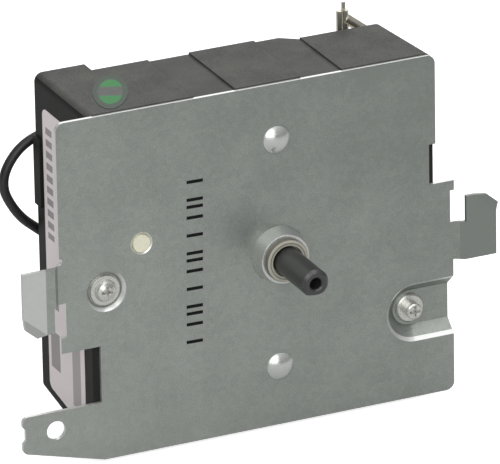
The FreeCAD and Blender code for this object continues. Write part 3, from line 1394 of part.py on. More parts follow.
def tube(points, radius):
    """Straight runs joined by tangent arcs, swept with a round section. Also gives the arc radii."""
    edges = []
    radii = []
    start = points[0]
    for before, corner, after in zip(points, points[1:], points[2:]):
        arrive = corner - before
        leave = after - corner
        turn = arrive.getAngle(leave)
        bend = 0.45 * min(arrive.Length, leave.Length) / math.tan(turn / 2)
        radii.append(bend)
        back_off = bend * math.tan(turn / 2)
        first = corner - arrive.normalize() * back_off
        last = corner + leave.normalize() * back_off
        inward = (first + last) / 2 - corner
        centre_reach = bend / math.cos(turn / 2)
        middle = corner + inward.normalize() * (centre_reach - bend)
        edges.append(Part.LineSegment(start, first).toShape())
        edges.append(Part.Arc(first, middle, last).toShape())
        start = last
    edges.append(Part.LineSegment(start, points[-1]).toShape())
    path = Part.Wire(edges)
    heading = points[1] - points[0]
    section = Part.Wire([Part.makeCircle(radius, points[0], heading)])
    solid = path.makePipeShell([section], True, False, 0)
    return solid, path.Length, radii


def motor_leads():
    for name, route in (("motor_lead_long", long_route()), ("motor_lead_short", short_route())):
        radius = mm("lead_radius")
        solid, length, radii = tube(route, radius)
        share = solid.Volume / (math.pi * radius ** 2 * length)
        print(f"{name}: length {length:.1f}, volume share {share:.4f}, radii", [round(r, 1) for r in radii])
        keep(formed(name + "_tube", solid), name)


def receptacle(x, front, z):
    """A push-on receptacle along Y round a tab: floor and two rolled sides."""
    half = mm("receptacle_wide") / 2
    high = mm("receptacle_high")
    metal = mm("receptacle_metal")
    top = z + mm("blade_fixed") + 0.05
    foot = z - metal - 0.05
    profile = [
        (-half, foot),
        (half, foot),
        (half, foot + high),
        (half * 0.35, foot + high),
        (half * 0.35, top),
        (half * 0.35 + metal, top),
        (half * 0.35 + metal, foot + high - metal),
        (half - metal, foot + high - metal),
        (half - metal, foot + metal),
        (-half + metal, foot + metal),
        (-half + metal, foot + high - metal),
        (-half * 0.35 - metal, foot + high - metal),
        (-half * 0.35 - metal, top),
        (-half * 0.35, top),
        (-half * 0.35, foot + high),
        (-half, foot + high),
    ]
    corners = [Vector(x + u, front, v) for u, v in profile]
    return Part.Face(Part.makePolygon(corners + corners[:1])).extrude(Vector(0, mm("receptacle_long"), 0))


def lead_connector_upper():
    """Receptacle on the outer tab, upright rolled ears with a tongue, and the slanted crimp barrel."""
    level = mm("blade_level + blade_apart")
    front = mm("case_low_back") + 1.2
    foot = receptacle(mm("tab_outer"), front, level)
    wide = mm("upright_wide")
    start = crimp_start()
    root = level + mm("receptacle_high") - mm("receptacle_metal") - 0.05
    web = Part.makeBox(wide + 1.6, mm("receptacle_metal") * 2, 4.0, Vector(start.x - wide / 2 - 0.2, start.y - 0.4,
                                                                         root - mm("receptacle_metal")))
    ears = []
    for side in (-1, 1):
        middle = start.x + side * wide / 4 - wide / 4
        ears.append(Part.makeCylinder(wide / 3.4, mm("upright_top") - root, Vector(middle, start.y, root),
                                      Vector(0, 0, 1)))
    tongue = Part.makeBox(0.9, 0.5, mm("tongue_top") - root, Vector(start.x - 0.7, start.y + 0.2, root))
    barrel = Part.makeCylinder(mm("crimp_radius"), mm("crimp_long"), start, crimp_direction())
    shape = foot.multiFuse(ears + [web, tongue, barrel]).removeSplitter()
    keep(formed("connector_upper", shape), "lead_connector_upper")


def lead_connector_lower():
    """Receptacle on the inner tab, with its barrel pointing down."""
    level = mm("blade_level")
    front = mm("case_low_back") + 1.2
    foot = receptacle(mm("tab_inner"), front, level)
    start = short_route()[0]
    barrel = Part.makeCylinder(mm("crimp_radius"), level - mm("receptacle_metal") / 2 - start.z - 0.05, start,
                               Vector(0, 0, 1))
    keep(formed("connector_lower", foot.fuse(barrel).removeSplitter()), "lead_connector_lower")


def check():
    """Each object and each sub-part has to be sound before anything is written."""
    for item in DOC.Objects:
        if "Invalid" in item.State or "Error" in item.State:
            raise RuntimeError(f"{item.Name} failed: {item.State}")
    for item in SUBPARTS:
        shape = item.Shape
        if shape.isNull() or not shape.isValid() or shape.Volume < TRUE_SOLID or not shape.Solids:
            raise RuntimeError(f"{item.Label} has no sound shape")


def main():
    mounting_plate()
    shaft_bush()
    plate_screws()
    housing()
    side_label()
    seal_sticker()
    control_shaft()
    cam_drum()
    clutch_spring()
    drum_gear()
    drive_gear()
    output_gear()
    idler_gear()
    rotor()
    axles()
    terminal_blocks(contacts())
    detent_spring()
    motor_plate()
    motor_can()
    lead_grommets()
    motor_screws()
    pole_plate()
    coil()
    motor_leads()
    lead_connector_upper()
    lead_connector_lower()
    DOC.recompute()
    check()
    os.makedirs("parts", exist_ok=True)
    for item in SUBPARTS:
        item.Shape.exportStep(f"parts/{item.Label}.step")
        box = item.Shape.BoundBox
        print(f"{item.Label:22s} solids {len(item.Shape.Solids)} volume {item.Shape.Volume:9.1f} "
              f"x {box.XMin:7.2f} {box.XMax:7.2f} y {box.YMin:7.2f} {box.YMax:7.2f} "
              f"z {box.ZMin:7.2f} {box.ZMax:7.2f}")


main()
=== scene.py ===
import json
import math

import bpy
from mathutils import Matrix, Vector


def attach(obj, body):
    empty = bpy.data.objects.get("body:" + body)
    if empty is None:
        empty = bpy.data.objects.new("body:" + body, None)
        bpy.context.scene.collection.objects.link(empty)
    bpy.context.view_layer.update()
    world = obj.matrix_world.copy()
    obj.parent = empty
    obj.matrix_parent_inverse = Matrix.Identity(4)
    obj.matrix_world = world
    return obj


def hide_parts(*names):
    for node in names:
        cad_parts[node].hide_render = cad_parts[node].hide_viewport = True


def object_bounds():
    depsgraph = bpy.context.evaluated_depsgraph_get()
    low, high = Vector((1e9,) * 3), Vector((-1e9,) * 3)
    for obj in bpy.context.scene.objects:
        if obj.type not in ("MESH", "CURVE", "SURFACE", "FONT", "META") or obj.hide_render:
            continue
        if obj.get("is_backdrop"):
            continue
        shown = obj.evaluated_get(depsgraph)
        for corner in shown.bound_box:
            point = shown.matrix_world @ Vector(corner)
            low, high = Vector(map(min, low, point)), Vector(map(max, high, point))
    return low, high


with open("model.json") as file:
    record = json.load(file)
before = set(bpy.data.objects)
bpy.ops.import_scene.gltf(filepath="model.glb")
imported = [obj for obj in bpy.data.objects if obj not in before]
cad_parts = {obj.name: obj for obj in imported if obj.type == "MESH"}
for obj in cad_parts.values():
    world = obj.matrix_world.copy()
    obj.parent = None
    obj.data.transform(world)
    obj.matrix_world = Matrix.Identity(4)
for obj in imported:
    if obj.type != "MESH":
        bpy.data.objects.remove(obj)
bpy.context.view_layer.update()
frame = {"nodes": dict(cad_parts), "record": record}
NODES = frame["nodes"]

bl_info = {
    "name": "Dryer Timer",
    "version": (1, 0, 0),
    "blender": (4, 5, 0),
    "location": "View3D > Sidebar > Timer",
    "description": "Finishes, printed marks, leads and studio of a dryer timer",
    "category": "Object",
}

MM = 0.001
MM_PER_METRE = 1000.0
FRAME_WIDTH = 500
FRAME_BODY = "frame"

# Lamps: place and edge length, in metres

LAMPS = {
    "key lamp": ((-0.36, -0.80, 0.46), 0.9),
    "top lamp": ((0.15, -0.10, 0.95), 0.8),
    "back lamp": ((0.36, 0.96, 0.62), 0.9),
}
FLOOR_REACH = 6.0
CAMERA_CLIP = 20.0
SENSOR_WIDTH = 36.0

# Areas of the plate and the stickers, in millimetres on the part's own axes

# SHEET_CORE marks the sheet's cut edges, which get a painted highlight; the other SHEET sizes span the plate's
# painted shade
SHEET_CORE = (0.04, 0.96)
SHEET_SPAN = 120.0
SHEET_LEFT = -60.0
SHEET_RISE = 90.0
SHEET_LOW = -45.0
RAISED_FACE = -0.12
RAISED_SIDE = 10.0
BOSS_REACH_SQUARED = 110.0
DOME_BAND = (25.0, 35.6)
DOME_SIDE = 5.3
# Bounds of the painted light on the left hook and the painted shade on the right hook
LEFT_HOOK = -63.0
RIGHT_HOOK = 49.5
TAB_TOP = -30.0
CASE_TOP = (44.4, 46.0)
# Radii of the bush's painted shade lines
BUSH_STEP = (4.55, 4.8)
BUSH_RIM = 5.45
SEAL_MIDDLE = (-38.5, 12.9)
SEAL_HALF = (11.3, 4.25)
SEAL_TURN = math.radians(66.0)

# Route of the leads, in millimetres, as in the part's source

CRIMP_START = Vector((33.5, 31.0, 45.8))
CRIMP_SLANT = math.radians(38.0)
CRIMP_WAY = Vector((math.cos(CRIMP_SLANT), 0.0, -math.sin(CRIMP_SLANT)))
BARREL_LENGTH = 7.4
LEAD_STRAIGHT = 5.2
BARREL_END = CRIMP_START + CRIMP_WAY * BARREL_LENGTH
LEAD_LEVEL = 36.6
MOTOR_AXIS = (-13.0, -2.0)
GROMMET_REACH = 26.2
LONG_ROUTE = [
    BARREL_END,
    BARREL_END + CRIMP_WAY * LEAD_STRAIGHT,
    (46.0, 32.0, 34.5),
    (43.5, 35.0, 25.5),
    (34.0, 38.0, 21.0),
    (20.0, 38.0, 23.5),
    (3.0, 37.4, 26.5),
    (-15.0, 36.8, 26.0),
    (-31.0, 36.4, 27.5),
    (-44.0, 36.4, 28.6),
    (-53.5, 36.4, 25.5),
    (-59.0, 36.4, 16.5),
    (-54.5, 36.4, 7.2),
    (-48.5, 36.5, 2.0),
    (-44.0, LEAD_LEVEL, MOTOR_AXIS[1] + 0.4),
    (MOTOR_AXIS[0] - GROMMET_REACH, LEAD_LEVEL, MOTOR_AXIS[1]),
]
SHORT_ROUTE = [
    (23.7, 29.2, 21.4),
    (23.7, 29.2, 15.0),
    (24.4, 31.0, 7.5),
    (22.5, 35.0, 0.6),
    (18.0, LEAD_LEVEL, MOTOR_AXIS[1] + 0.3),
    (MOTOR_AXIS[0] + GROMMET_REACH, LEAD_LEVEL, MOTOR_AXIS[1]),
]

# Name, route, length in metres and connector of each lead

LEADS = (
    ("lead_long", LONG_ROUTE, 0.152, "lead_connector_upper"),
    ("lead_short", SHORT_ROUTE, 0.0315, "lead_connector_lower"),
)


# Shader building

class Value:
    """A shader socket that takes part in plain arithmetic."""

    def __init__(self, paint, socket):
        self.paint = paint
        self.socket = socket

    def _math(self, operation, *others):
        return self.paint.node("ShaderNodeMath", {"operation": operation}, dict(enumerate((self,) + others)))

    def __add__(self, other):
        return self._math("ADD", other)

    def __radd__(self, other):
        return self._math("ADD", other)

    def __sub__(self, other):
        return self._math("SUBTRACT", other)

    def __rsub__(self, other):
        return self.paint.node("ShaderNodeMath", {"operation": "SUBTRACT"}, {0: other, 1: self})

    def __mul__(self, other):
        return self._math("MULTIPLY", other)

    def __rmul__(self, other):
        return self._math("MULTIPLY", other)

    def __truediv__(self, other):
        return self._math("DIVIDE", other)

    def __abs__(self):
        return self._math("ABSOLUTE")

    def __lt__(self, other):
        return self._math("LESS_THAN", other)

    def __gt__(self, other):
        return self._math("GREATER_THAN", other)

    def most(self, other):
        return self._math("MAXIMUM", other)

    def repeat(self, length):
        """The remainder inside one repeat of the given length."""
        return self._math("WRAP", length, 0.0)

    def root(self):
        return self._math("SQRT")

    def clamped(self):
        return self.paint.node("ShaderNodeClamp", {}, {"Value": self})


class Paint:
    """A procedural material on Object coordinates."""

    def __init__(self, name):
        self.material = bpy.data.materials.new(name)
        self.material.use_nodes = True
        self.tree = self.material.node_tree
        self.shader = self.tree.nodes["Principled BSDF"]
        self.place = self.node("ShaderNodeTexCoord", {}, {}, "Object")

    def node(self, kind, settings, values, output=0):
        """Any node: its settings first, then the values or links of its sockets."""
        item = self.tree.nodes.new(kind)
        for key, setting in settings.items():
            setattr(item, key, setting)
        for key, value in values.items():
            self.feed(item.inputs[key], value)
        return Value(self, item.outputs[output])

    def feed(self, socket, value):
        if isinstance(value, Value):
            self.tree.links.new(value.socket, socket)
        elif isinstance(value, (tuple, list)) and len(value) == 3 and socket.type == "RGBA":
            socket.default_value = (*value, 1.0)
        else:
            socket.default_value = value

    def axes(self):
        """X, Y and Z of the object, in millimetres."""
        split = self.tree.nodes.new("ShaderNodeSeparateXYZ")
        self.tree.links.new(self.place.socket, split.inputs[0])
        return [Value(self, socket) * MM_PER_METRE for socket in split.outputs]

    def noise(self, size, detail=2.0, roughness=0.5):
        """Cloudy variation; size is the width of its patches in millimetres."""
        return self.node("ShaderNodeTexNoise", {}, {
            "Vector": self.place, "Scale": MM_PER_METRE / size, "Detail": detail, "Roughness": roughness})

    def grains(self, size):
        """Flat patches with sharp borders, each with its own brightness."""
        cells = self.node("ShaderNodeTexVoronoi", {}, {"Vector": self.place, "Scale": MM_PER_METRE / size}, "Color")
        return self.node("ShaderNodeSeparateColor", {}, {"Color": cells})

    def mix(self, share, first, second):
        """One colour over another by a mask."""
        return self.node("ShaderNodeMix", {"data_type": "RGBA"}, {0: share, 6: first, 7: second}, 2)

    def bump(self, height, strength, distance, normal=None):
        values = {"Height": height, "Strength": strength, "Distance": distance}
        if normal is not None:
            values["Normal"] = normal
        return self.node("ShaderNodeBump", {}, values)

    def soft_edge(self, radius):
        """A rounded look for the sharp edges, by turning the normal next to them."""
        return self.node("ShaderNodeBevel", {"samples": 6}, {"Radius": radius * MM})

    def finish(self, **sockets):
        for key, value in sockets.items():
            self.feed(self.shader.inputs[key.replace("_", " ")], value)
        return self.material


def spread(mask, low, high):
    """A mask from 0 to 1 turned into a range of values."""
    return mask * (high - low) + low


def galvanised(name, colour, dark, metallic, rough, edge, grain, painted_shade_falloff=0.0, painted_light=0.0):
    """Zinc-coated sheet: fine grain and soft clouds.

    The mounting plate also has two strengths of painted light and shade: one for painted shade that darkens it to the
    right and upwards, and one for the painted highlights on its cut edges, raised forms and left hook and the painted
    shade on its right hook.
    """
    paint = Paint(name)
    flowers = paint.grains(grain)
    cloud = paint.noise(14.0, 2.0)
    fine = paint.noise(0.45, 3.0, 0.6)
    x, y, z = paint.axes()
    # Painted shade: the plate darkens to the right and upwards
    rightwards = ((x - SHEET_LEFT) / SHEET_SPAN).clamped()
    upwards = ((z - SHEET_LOW) / SHEET_RISE).clamped()
    # Painted shade: the right hook is darkened
    right_hook_shade = (x > RIGHT_HOOK) * (0.7 * painted_light)
    # Tone from spangle grain and clouds, less the painted shade
    shade = flowers * 0.1 + cloud * 0.3 + fine * 0.6 - (rightwards + upwards) * painted_shade_falloff - right_hook_shade
    zinc = paint.mix(shade.clamped(), dark, colour)
    on_boss = x * x + z * z < BOSS_REACH_SQUARED
    on_dome = inside(abs(z), *DOME_BAND) * (abs(x) < DOME_SIDE)
    raised = (abs(x) < RAISED_SIDE) * on_boss.most(on_dome)
    # Painted highlight: the raised boss and domes are lightened; the same mask also lowers their roughness
    burnish_and_highlight = (y < RAISED_FACE) * raised * (0.62 * painted_light)
    # Painted highlight on the sheet's cut edges
    cut_edge_highlight = inside(y, *SHEET_CORE) * painted_light
    # Painted light: the left hook is lightened
    left_hook_light = (x < LEFT_HOOK) * (z > TAB_TOP) * (0.6 * painted_light)
    # The painted highlights and painted light mix the base towards pale zinc
    base = paint.mix(cut_edge_highlight.most(burnish_and_highlight).most(left_hook_light), zinc, (0.80, 0.81, 0.79))
    rounded = paint.mix(raised, paint.soft_edge(edge), paint.soft_edge(2.6 * edge))
    normal = paint.bump(fine, 0.10, 0.00003, rounded)
    roughness = spread(fine, rough - 0.05, rough + 0.05) - burnish_and_highlight * 0.16
    return paint.finish(Base_Color=base, Metallic=metallic, Roughness=roughness, Normal=normal)


def bright_metal(name, colour, rough, edge):
    """Plated steel with fine uneven wear."""
    paint = Paint(name)
    wear = paint.noise(0.8, 4.0, 0.6)
    base = paint.mix(wear, tuple(0.72 * part for part in colour), colour)
    normal = paint.bump(wear, 0.10, 0.00003, paint.soft_edge(edge))
    roughness = spread(wear, rough - 0.06, rough + 0.10)
    return paint.finish(Base_Color=base, Metallic=0.9, Roughness=roughness, Normal=normal)


def moulded(name, colour, rough, edge, sheen=0.4):
    """Moulded plastic with a fine spark-eroded grain and faint handling marks."""
    paint = Paint(name)
    fine = paint.noise(0.35, 2.0, 0.6)
    cloud = paint.noise(9.0, 3.0)
    base = paint.mix(cloud, tuple(0.75 * part for part in colour), tuple(1.25 * part for part in colour))
    normal = paint.bump(fine, 0.22, 0.00004, paint.soft_edge(edge))
    paint.shader.inputs["Specular IOR Level"].default_value = sheen
    return paint.finish(Base_Color=base, Roughness=spread(cloud, rough - 0.05, rough + 0.06), Normal=normal)


def bush_moulding():
    """Pale collar with painted shade: a fine dark line at the step on its face and a darkened rim where it meets the
    boss.
    """
    paint = Paint("bush moulding")
    x, y, z = paint.axes()
    reach = (x * x + z * z).root()
    cloud = paint.noise(3.0, 3.0)
    pale = paint.mix(cloud, (0.34, 0.33, 0.275), (0.42, 0.41, 0.34))
    # Painted shade: dark lines at the step on the face and around the rim
    steps = (inside(reach, *BUSH_STEP) + (reach > BUSH_RIM)) * 0.75
    base = paint.mix(steps.clamped(), pale, (0.05, 0.048, 0.04))
    paint.shader.inputs["Specular IOR Level"].default_value = 0.35
    return paint.finish(Base_Color=base, Roughness=spread(cloud, 0.35, 0.46), Normal=paint.soft_edge(0.3))


def case_moulding():
    """Black moulding with a thin uneven film of dust on its top."""
    paint = Paint("black case")
    x, y, z = paint.axes()
    fine = paint.noise(0.35, 2.0, 0.6)
    cloud = paint.noise(9.0, 4.0, 0.6)
    black = paint.mix(cloud, (0.012, 0.012, 0.012), (0.024, 0.024, 0.022))
    film = inside(z, *CASE_TOP) * (cloud * 0.9 + fine * 1.1 - 0.52).clamped()
    base = paint.mix(film, black, (0.115, 0.115, 0.105))
    paint.shader.inputs["Specular IOR Level"].default_value = 0.12
    normal = paint.bump(fine, 0.22, 0.00004, paint.soft_edge(0.35))
    return paint.finish(Base_Color=base, Roughness=spread(cloud, 0.42, 0.58), Normal=normal)


def inside(value, low, high):
    """A mask of the stretch between two values."""
    return (value > low) * (value < high)


def label_paper():
    """Pale label with plain dark blocks and rows of short strokes in place of print."""
    paint = Paint("label paper")
    x, y, z = paint.axes()
    fibres = paint.noise(0.5, 3.0)
    base = paint.mix(fibres, (0.78, 0.71, 0.72), (0.88, 0.81, 0.82))
    strokes = inside(z.repeat(3.1), 0.7, 2.5)
    heavy = inside(y, 22.6, 26.4) * inside(z, 4.0, 34.0) * strokes
    fine = inside(z.repeat(1.7), 0.35, 1.3) * inside(y, 18.4, 19.8) * inside(z, 8.0, 33.0)
    blocks = inside(y, 21.0, 26.6) * (inside(z, -14.0, -5.0) + inside(z, -30.5, -20.5))
    field = inside(y, 8.4, 13.4) * inside(z, -36.0, -12.0)
    ink = (heavy * 0.62 + fine * 0.45 + blocks * 0.6 + field * 0.5).clamped()
    base = paint.mix(ink, base, (0.03, 0.03, 0.035))
    normal = paint.bump(fibres, 0.1, 0.00003)
    return paint.finish(Base_Color=base, Roughness=spread(fibres, 0.42, 0.6), Normal=normal)


def seal_foil():
    """Dull foil with two green crescents, a plain grey band between them and faint rings."""
    paint = Paint("seal foil")
    x, y, z = paint.axes()
    cosine, sine = math.cos(SEAL_TURN), math.sin(SEAL_TURN)
    across = x - SEAL_MIDDLE[0]
    back = y - SEAL_MIDDLE[1]
    along = (across * cosine + back * sine) / SEAL_HALF[0]
    aside = (back * cosine - across * sine) / SEAL_HALF[1]
    reach = (along * along + aside * aside).root()
    glint = paint.noise(1.1, 3.0, 0.65)
    band = inside(along, -0.24, 0.28)
    crescents = (reach < 0.72) * (1.0 - band) * spread(glint, 0.2, 1.4).clamped()
    rings = inside(reach, 0.78, 0.84) + inside(reach, 0.93, 1.0)
    dull = paint.mix(glint, (0.016, 0.026, 0.018), (0.038, 0.056, 0.040))
    middle = paint.mix(band * (reach < 0.72), dull, (0.064, 0.068, 0.064))
    ground = paint.mix(crescents.clamped(), middle, (0.004, 0.20, 0.03))
    base = paint.mix((rings * 0.5).clamped(), ground, (0.030, 0.075, 0.038))
    paint.shader.inputs["Specular IOR Level"].default_value = 0.2
    return paint.finish(Base_Color=base, Roughness=spread(glint, 0.3, 0.5))


def wound_copper():
    """Enamelled wire in close turns about the motor's axis, with painted shade darkening the grooves between turns.
    """
    paint = Paint("wound copper")
    x, y, z = paint.axes()
    turns = abs(y.repeat(0.25) * 8.0 - 1.0)
    # Painted shade: each turn darkens towards the grooves beside it
    base = paint.mix(turns, (0.55, 0.22, 0.07), (0.20, 0.06, 0.02))
    return paint.finish(Base_Color=base, Metallic=0.7, Roughness=spread(turns, 0.3, 0.5),
                        Normal=paint.bump(turns, 0.5, 0.0001))


def lead_jacket():
    """Black wire insulation, slightly waxy."""
    paint = Paint("lead jacket")
    cloud = paint.noise(3.0, 3.0)
    base = paint.mix(cloud, (0.008, 0.008, 0.009), (0.022, 0.022, 0.024))
    return paint.finish(Base_Color=base, Roughness=spread(cloud, 0.32, 0.48),
                        Normal=paint.bump(paint.noise(0.4), 0.08, 0.00003))


def marking_ink():
    """Stamped ink that lets a little of the zinc through."""
    paint = Paint("marking ink")
    worn = paint.noise(0.5, 3.0, 0.65)
    base = paint.mix((worn * 2.2 - 1.2).clamped(), (0.006, 0.006, 0.007), (0.05, 0.05, 0.05))
    paint.shader.inputs["Specular IOR Level"].default_value = 0.1
    return paint.finish(Base_Color=base, Roughness=spread(worn, 0.45, 0.7))


def studio_floor():
    """Pale floor that shows a little lighter to the camera and keeps the shadow."""
    paint = Paint("studio floor")
    cloud = paint.noise(400.0, 1.0)
    base = paint.mix(cloud, (0.60, 0.60, 0.60), (0.62, 0.62, 0.62))
    path = paint.tree.nodes.new("ShaderNodeLightPath")
    seen = Value(paint, path.outputs["Is Camera Ray"])
    glow = paint.mix(seen, (0.0, 0.0, 0.0), (0.80, 0.80, 0.80))
    paint.shader.inputs["Emission Strength"].default_value = 1.0
    paint.shader.inputs["Specular IOR Level"].default_value = 0.0
    return paint.finish(Base_Color=base, Roughness=0.9, Emission_Color=glow)


FINISHES = {
    # The zinc sheet carries painted shade and painted highlights
    "zinc sheet": lambda: galvanised(
        "zinc sheet", (0.54, 0.57, 0.535), (0.24, 0.26, 0.24), metallic=0.75, rough=0.34, edge=0.12, grain=1.3,
        painted_shade_falloff=0.28, painted_light=0.9),
    "bush moulding": bush_moulding,
    "zinc screw": lambda: bright_metal("zinc screw", (0.74, 0.74, 0.70), 0.26, 0.12),
    "spring steel": lambda: bright_metal("spring steel", (0.55, 0.56, 0.56), 0.28, 0.05),
    "motor steel": lambda: galvanised(
        "motor steel", (0.55, 0.56, 0.55), (0.42, 0.43, 0.43), metallic=0.8, rough=0.42, edge=0.3, grain=4.0),
    "contact brass": lambda: bright_metal("contact brass", (0.76, 0.56, 0.26), 0.32, 0.08),
    "contact silver": lambda: bright_metal("contact silver", (0.85, 0.84, 0.80), 0.2, 0.08),
    "tinned brass": lambda: bright_metal("tinned brass", (0.74, 0.72, 0.62), 0.30, 0.08),
    "black case": case_moulding,
    "black shaft": lambda: moulded("black shaft", (0.024, 0.024, 0.024), 0.32, 0.3, 0.8),
    "cream acetal": lambda: moulded("cream acetal", (0.72, 0.71, 0.55), 0.38, 0.1),
    "white nylon": lambda: moulded("white nylon", (0.70, 0.70, 0.66), 0.45, 0.1),
    "tan phenolic": lambda: moulded("tan phenolic", (0.30, 0.17, 0.08), 0.5, 0.15),
    "magnet ferrite": lambda: moulded("magnet ferrite", (0.045, 0.045, 0.048), 0.55, 0.1),
    "label paper": label_paper,
    "seal foil": seal_foil,
    "wound copper": wound_copper,
    "lead jacket": lead_jacket,
    "marking ink": marking_ink,
    "studio floor": studio_floor,
}

FINISH_OF_SLOT = {
    "galvanised_steel": "zinc sheet",
    "bright_steel": "bush moulding",
    "zinc_screw": "zinc screw",
    "black_case": "black case",
    "label_paper": "label paper",
    "seal_foil": "seal foil",
    "black_shaft": "black shaft",
    "cream_plastic": "cream acetal",
    "dark_magnet": "magnet ferrite",
    "spring_steel": "spring steel",
    "contact_metal": "contact silver",
    "tan_phenolic": "tan phenolic",
    "motor_steel": "motor steel",
    "white_nylon": "white nylon",
    "copper_wire": "wound copper",
    "lead_jacket": "lead jacket",
    "tinned_brass": "tinned brass",
    "contact_brass": "contact brass",
}


def finish_named(name):
    """A finish by name, made when it is first asked for."""
    return bpy.data.materials.get(name) or FINISHES[name]()


# Geometry

def link(name, data):
    item = bpy.data.objects.new(name, data)
    bpy.context.scene.collection.objects.link(item)
    return item


def plain_copy(item, name):
    """The evaluated shape of an object as a plain mesh object at the origin."""
    evaluated = item.evaluated_get(bpy.context.evaluated_depsgraph_get())
    mesh = bpy.data.meshes.new_from_object(evaluated)
    mesh.transform(item.matrix_world)
    bpy.data.objects.remove(item)
    return link(name, mesh)


DOUBLE_EVERY = 3.0
DOUBLE_SHIFT = 0.40


def marks_tree(settings):
    """Stamped strokes down the plate, every third one doubled."""
    tree = bpy.data.node_groups.new("stamped strokes", "GeometryNodeTree")
    sizes = {
        "Pitch": settings.pitch,
        "Stroke Length": settings.stroke_length,
        "Stroke Width": settings.stroke_width,
        "Thickness": settings.thickness,
    }
    for name, default in sizes.items():
        socket = tree.interface.new_socket(name, in_out="INPUT", socket_type="NodeSocketFloat")
        socket.default_value = default
    count_socket = tree.interface.new_socket("Count", in_out="INPUT", socket_type="NodeSocketInt")
    count_socket.default_value = settings.count
    tree.interface.new_socket("Geometry", in_out="OUTPUT", socket_type="NodeSocketGeometry")
    add = tree.nodes.new
    entry = add("NodeGroupInput")
    leave = add("NodeGroupOutput")
    step = add("ShaderNodeCombineXYZ")
    places = add("GeometryNodeMeshLine")
    stroke = add("GeometryNodeMeshCube")
    size = add("ShaderNodeCombineXYZ")
    instances = add("GeometryNodeInstanceOnPoints")
    index = add("GeometryNodeInputIndex")
    third = add("FunctionNodeCompare")
    remainder = add("ShaderNodeMath")
    second = add("GeometryNodeSetPosition")
    shift = add("ShaderNodeCombineXYZ")
    joined = add("GeometryNodeJoinGeometry")
    chosen = add("GeometryNodeSeparateGeometry")
    real = add("GeometryNodeRealizeInstances")
    colour = add("GeometryNodeSetMaterial")
    negative = add("ShaderNodeMath")
    negative.operation = "MULTIPLY"
    negative.inputs[1].default_value = -1.0
    aside = add("ShaderNodeMath")
    aside.operation = "MULTIPLY"
    aside.inputs[1].default_value = -DOUBLE_SHIFT
    remainder.operation = "MODULO"
    remainder.inputs[1].default_value = DOUBLE_EVERY
    third.data_type = "FLOAT"
    third.operation = "EQUAL"
    third.inputs["B"].default_value = 1.0
    third.inputs["Epsilon"].default_value = 0.1
    colour.inputs["Material"].default_value = finish_named("marking ink")
    join = tree.links.new
    join(entry.outputs["Pitch"], negative.inputs[0])
    join(negative.outputs[0], step.inputs["Z"])
    join(entry.outputs["Count"], places.inputs["Count"])
    join(step.outputs[0], places.inputs["Offset"])
    join(entry.outputs["Stroke Length"], size.inputs["X"])
    join(entry.outputs["Thickness"], size.inputs["Y"])
    join(entry.outputs["Stroke Width"], size.inputs["Z"])
    join(size.outputs[0], stroke.inputs["Size"])
    join(places.outputs["Mesh"], chosen.inputs["Geometry"])
    join(index.outputs[0], remainder.inputs[0])
    join(remainder.outputs[0], third.inputs["A"])
    join(third.outputs[0], chosen.inputs["Selection"])
    join(chosen.outputs["Selection"], second.inputs["Geometry"])
    join(entry.outputs["Pitch"], aside.inputs[0])
    join(aside.outputs[0], shift.inputs["Z"])
    join(shift.outputs[0], second.inputs["Offset"])
    join(places.outputs["Mesh"], joined.inputs[0])
    join(second.outputs["Geometry"], joined.inputs[0])
    join(joined.outputs[0], instances.inputs["Points"])
    join(stroke.outputs["Mesh"], instances.inputs["Instance"])
    join(instances.outputs[0], real.inputs[0])
    join(real.outputs[0], colour.inputs["Geometry"])
    join(colour.outputs[0], leave.inputs[0])
    return tree


def number(name, description, default, unit="NONE"):
    return bpy.props.FloatProperty(name=name, description=description, default=default, unit=unit)


def length(name, description, default):
    return number(name, description, default, "LENGTH")


def power(name, description, default):
    return number(name, description, default, "POWER")


def angle(name, description, degrees):
    return bpy.props.FloatProperty(name=name, description=description, default=math.radians(degrees), subtype="ANGLE")


class TimerMarks(bpy.types.PropertyGroup):
    count: bpy.props.IntProperty(name="Strokes", description="Strokes in the row", default=10, min=1)
    pitch: length("Pitch", "From stroke to stroke", 4.72 * MM)
    stroke_length: length("Length", "Length of a stroke", 4.4 * MM)
    stroke_width: length("Width", "Width of a stroke", 0.85 * MM)
    thickness: length("Thickness", "Thickness of the ink", 0.03 * MM)
    top: bpy.props.FloatVectorProperty(
        name="First stroke", description="Middle of the topmost stroke",
        default=(-22.2 * MM, -0.01 * MM, 23.4 * MM), subtype="TRANSLATION")
    lean: angle("Lean", "Lean of the row from upright", 1.2)


class TimerStudio(bpy.types.PropertyGroup):
    azimuth: angle("Azimuth", "Camera to the left of the plate's normal", 24.3146)
    elevation: angle("Elevation", "Camera above the shaft's axis", 22.56)
    roll: angle("Roll", "Camera roll", -1.059)
    distance: length("Distance", "Camera to the shaft's axis, along the view", 1.91794)
    scale: number("Scale", "Pixels per millimetre at the plate", 4.05)
    axis_across: number("Axis across", "Shaft axis from the frame's middle, pixels", 28.5)
    axis_down: number("Axis down", "Shaft axis below the frame's middle, pixels", 21.5)
    key_power: power("Key", "Power of the key lamp", 5.4)
    top_power: power("Top", "Power of the lamp above", 4.0)
    back_power: power("Back", "Power of the lamp behind", 3.0)
    world_low: number("Horizon", "Strength of the surroundings low down", 0.18)
    world_high: number("Sky", "Strength of the surroundings above", 0.60)


# Operators

class TIMER_OT_finishes(bpy.types.Operator):
    """Give every solid of the timer its finish"""
    bl_idname = "timer.finishes"
    bl_label = "Finishes"

    def execute(self, context):
        for row in frame["record"]["subparts"]:
            node = NODES[row["node"]]
            material = finish_named(FINISH_OF_SLOT[row["material_slot"]])
            if not node.data.materials:
                node.data.materials.append(material)
            for slot in node.material_slots:
                slot.material = material
        return {"FINISHED"}


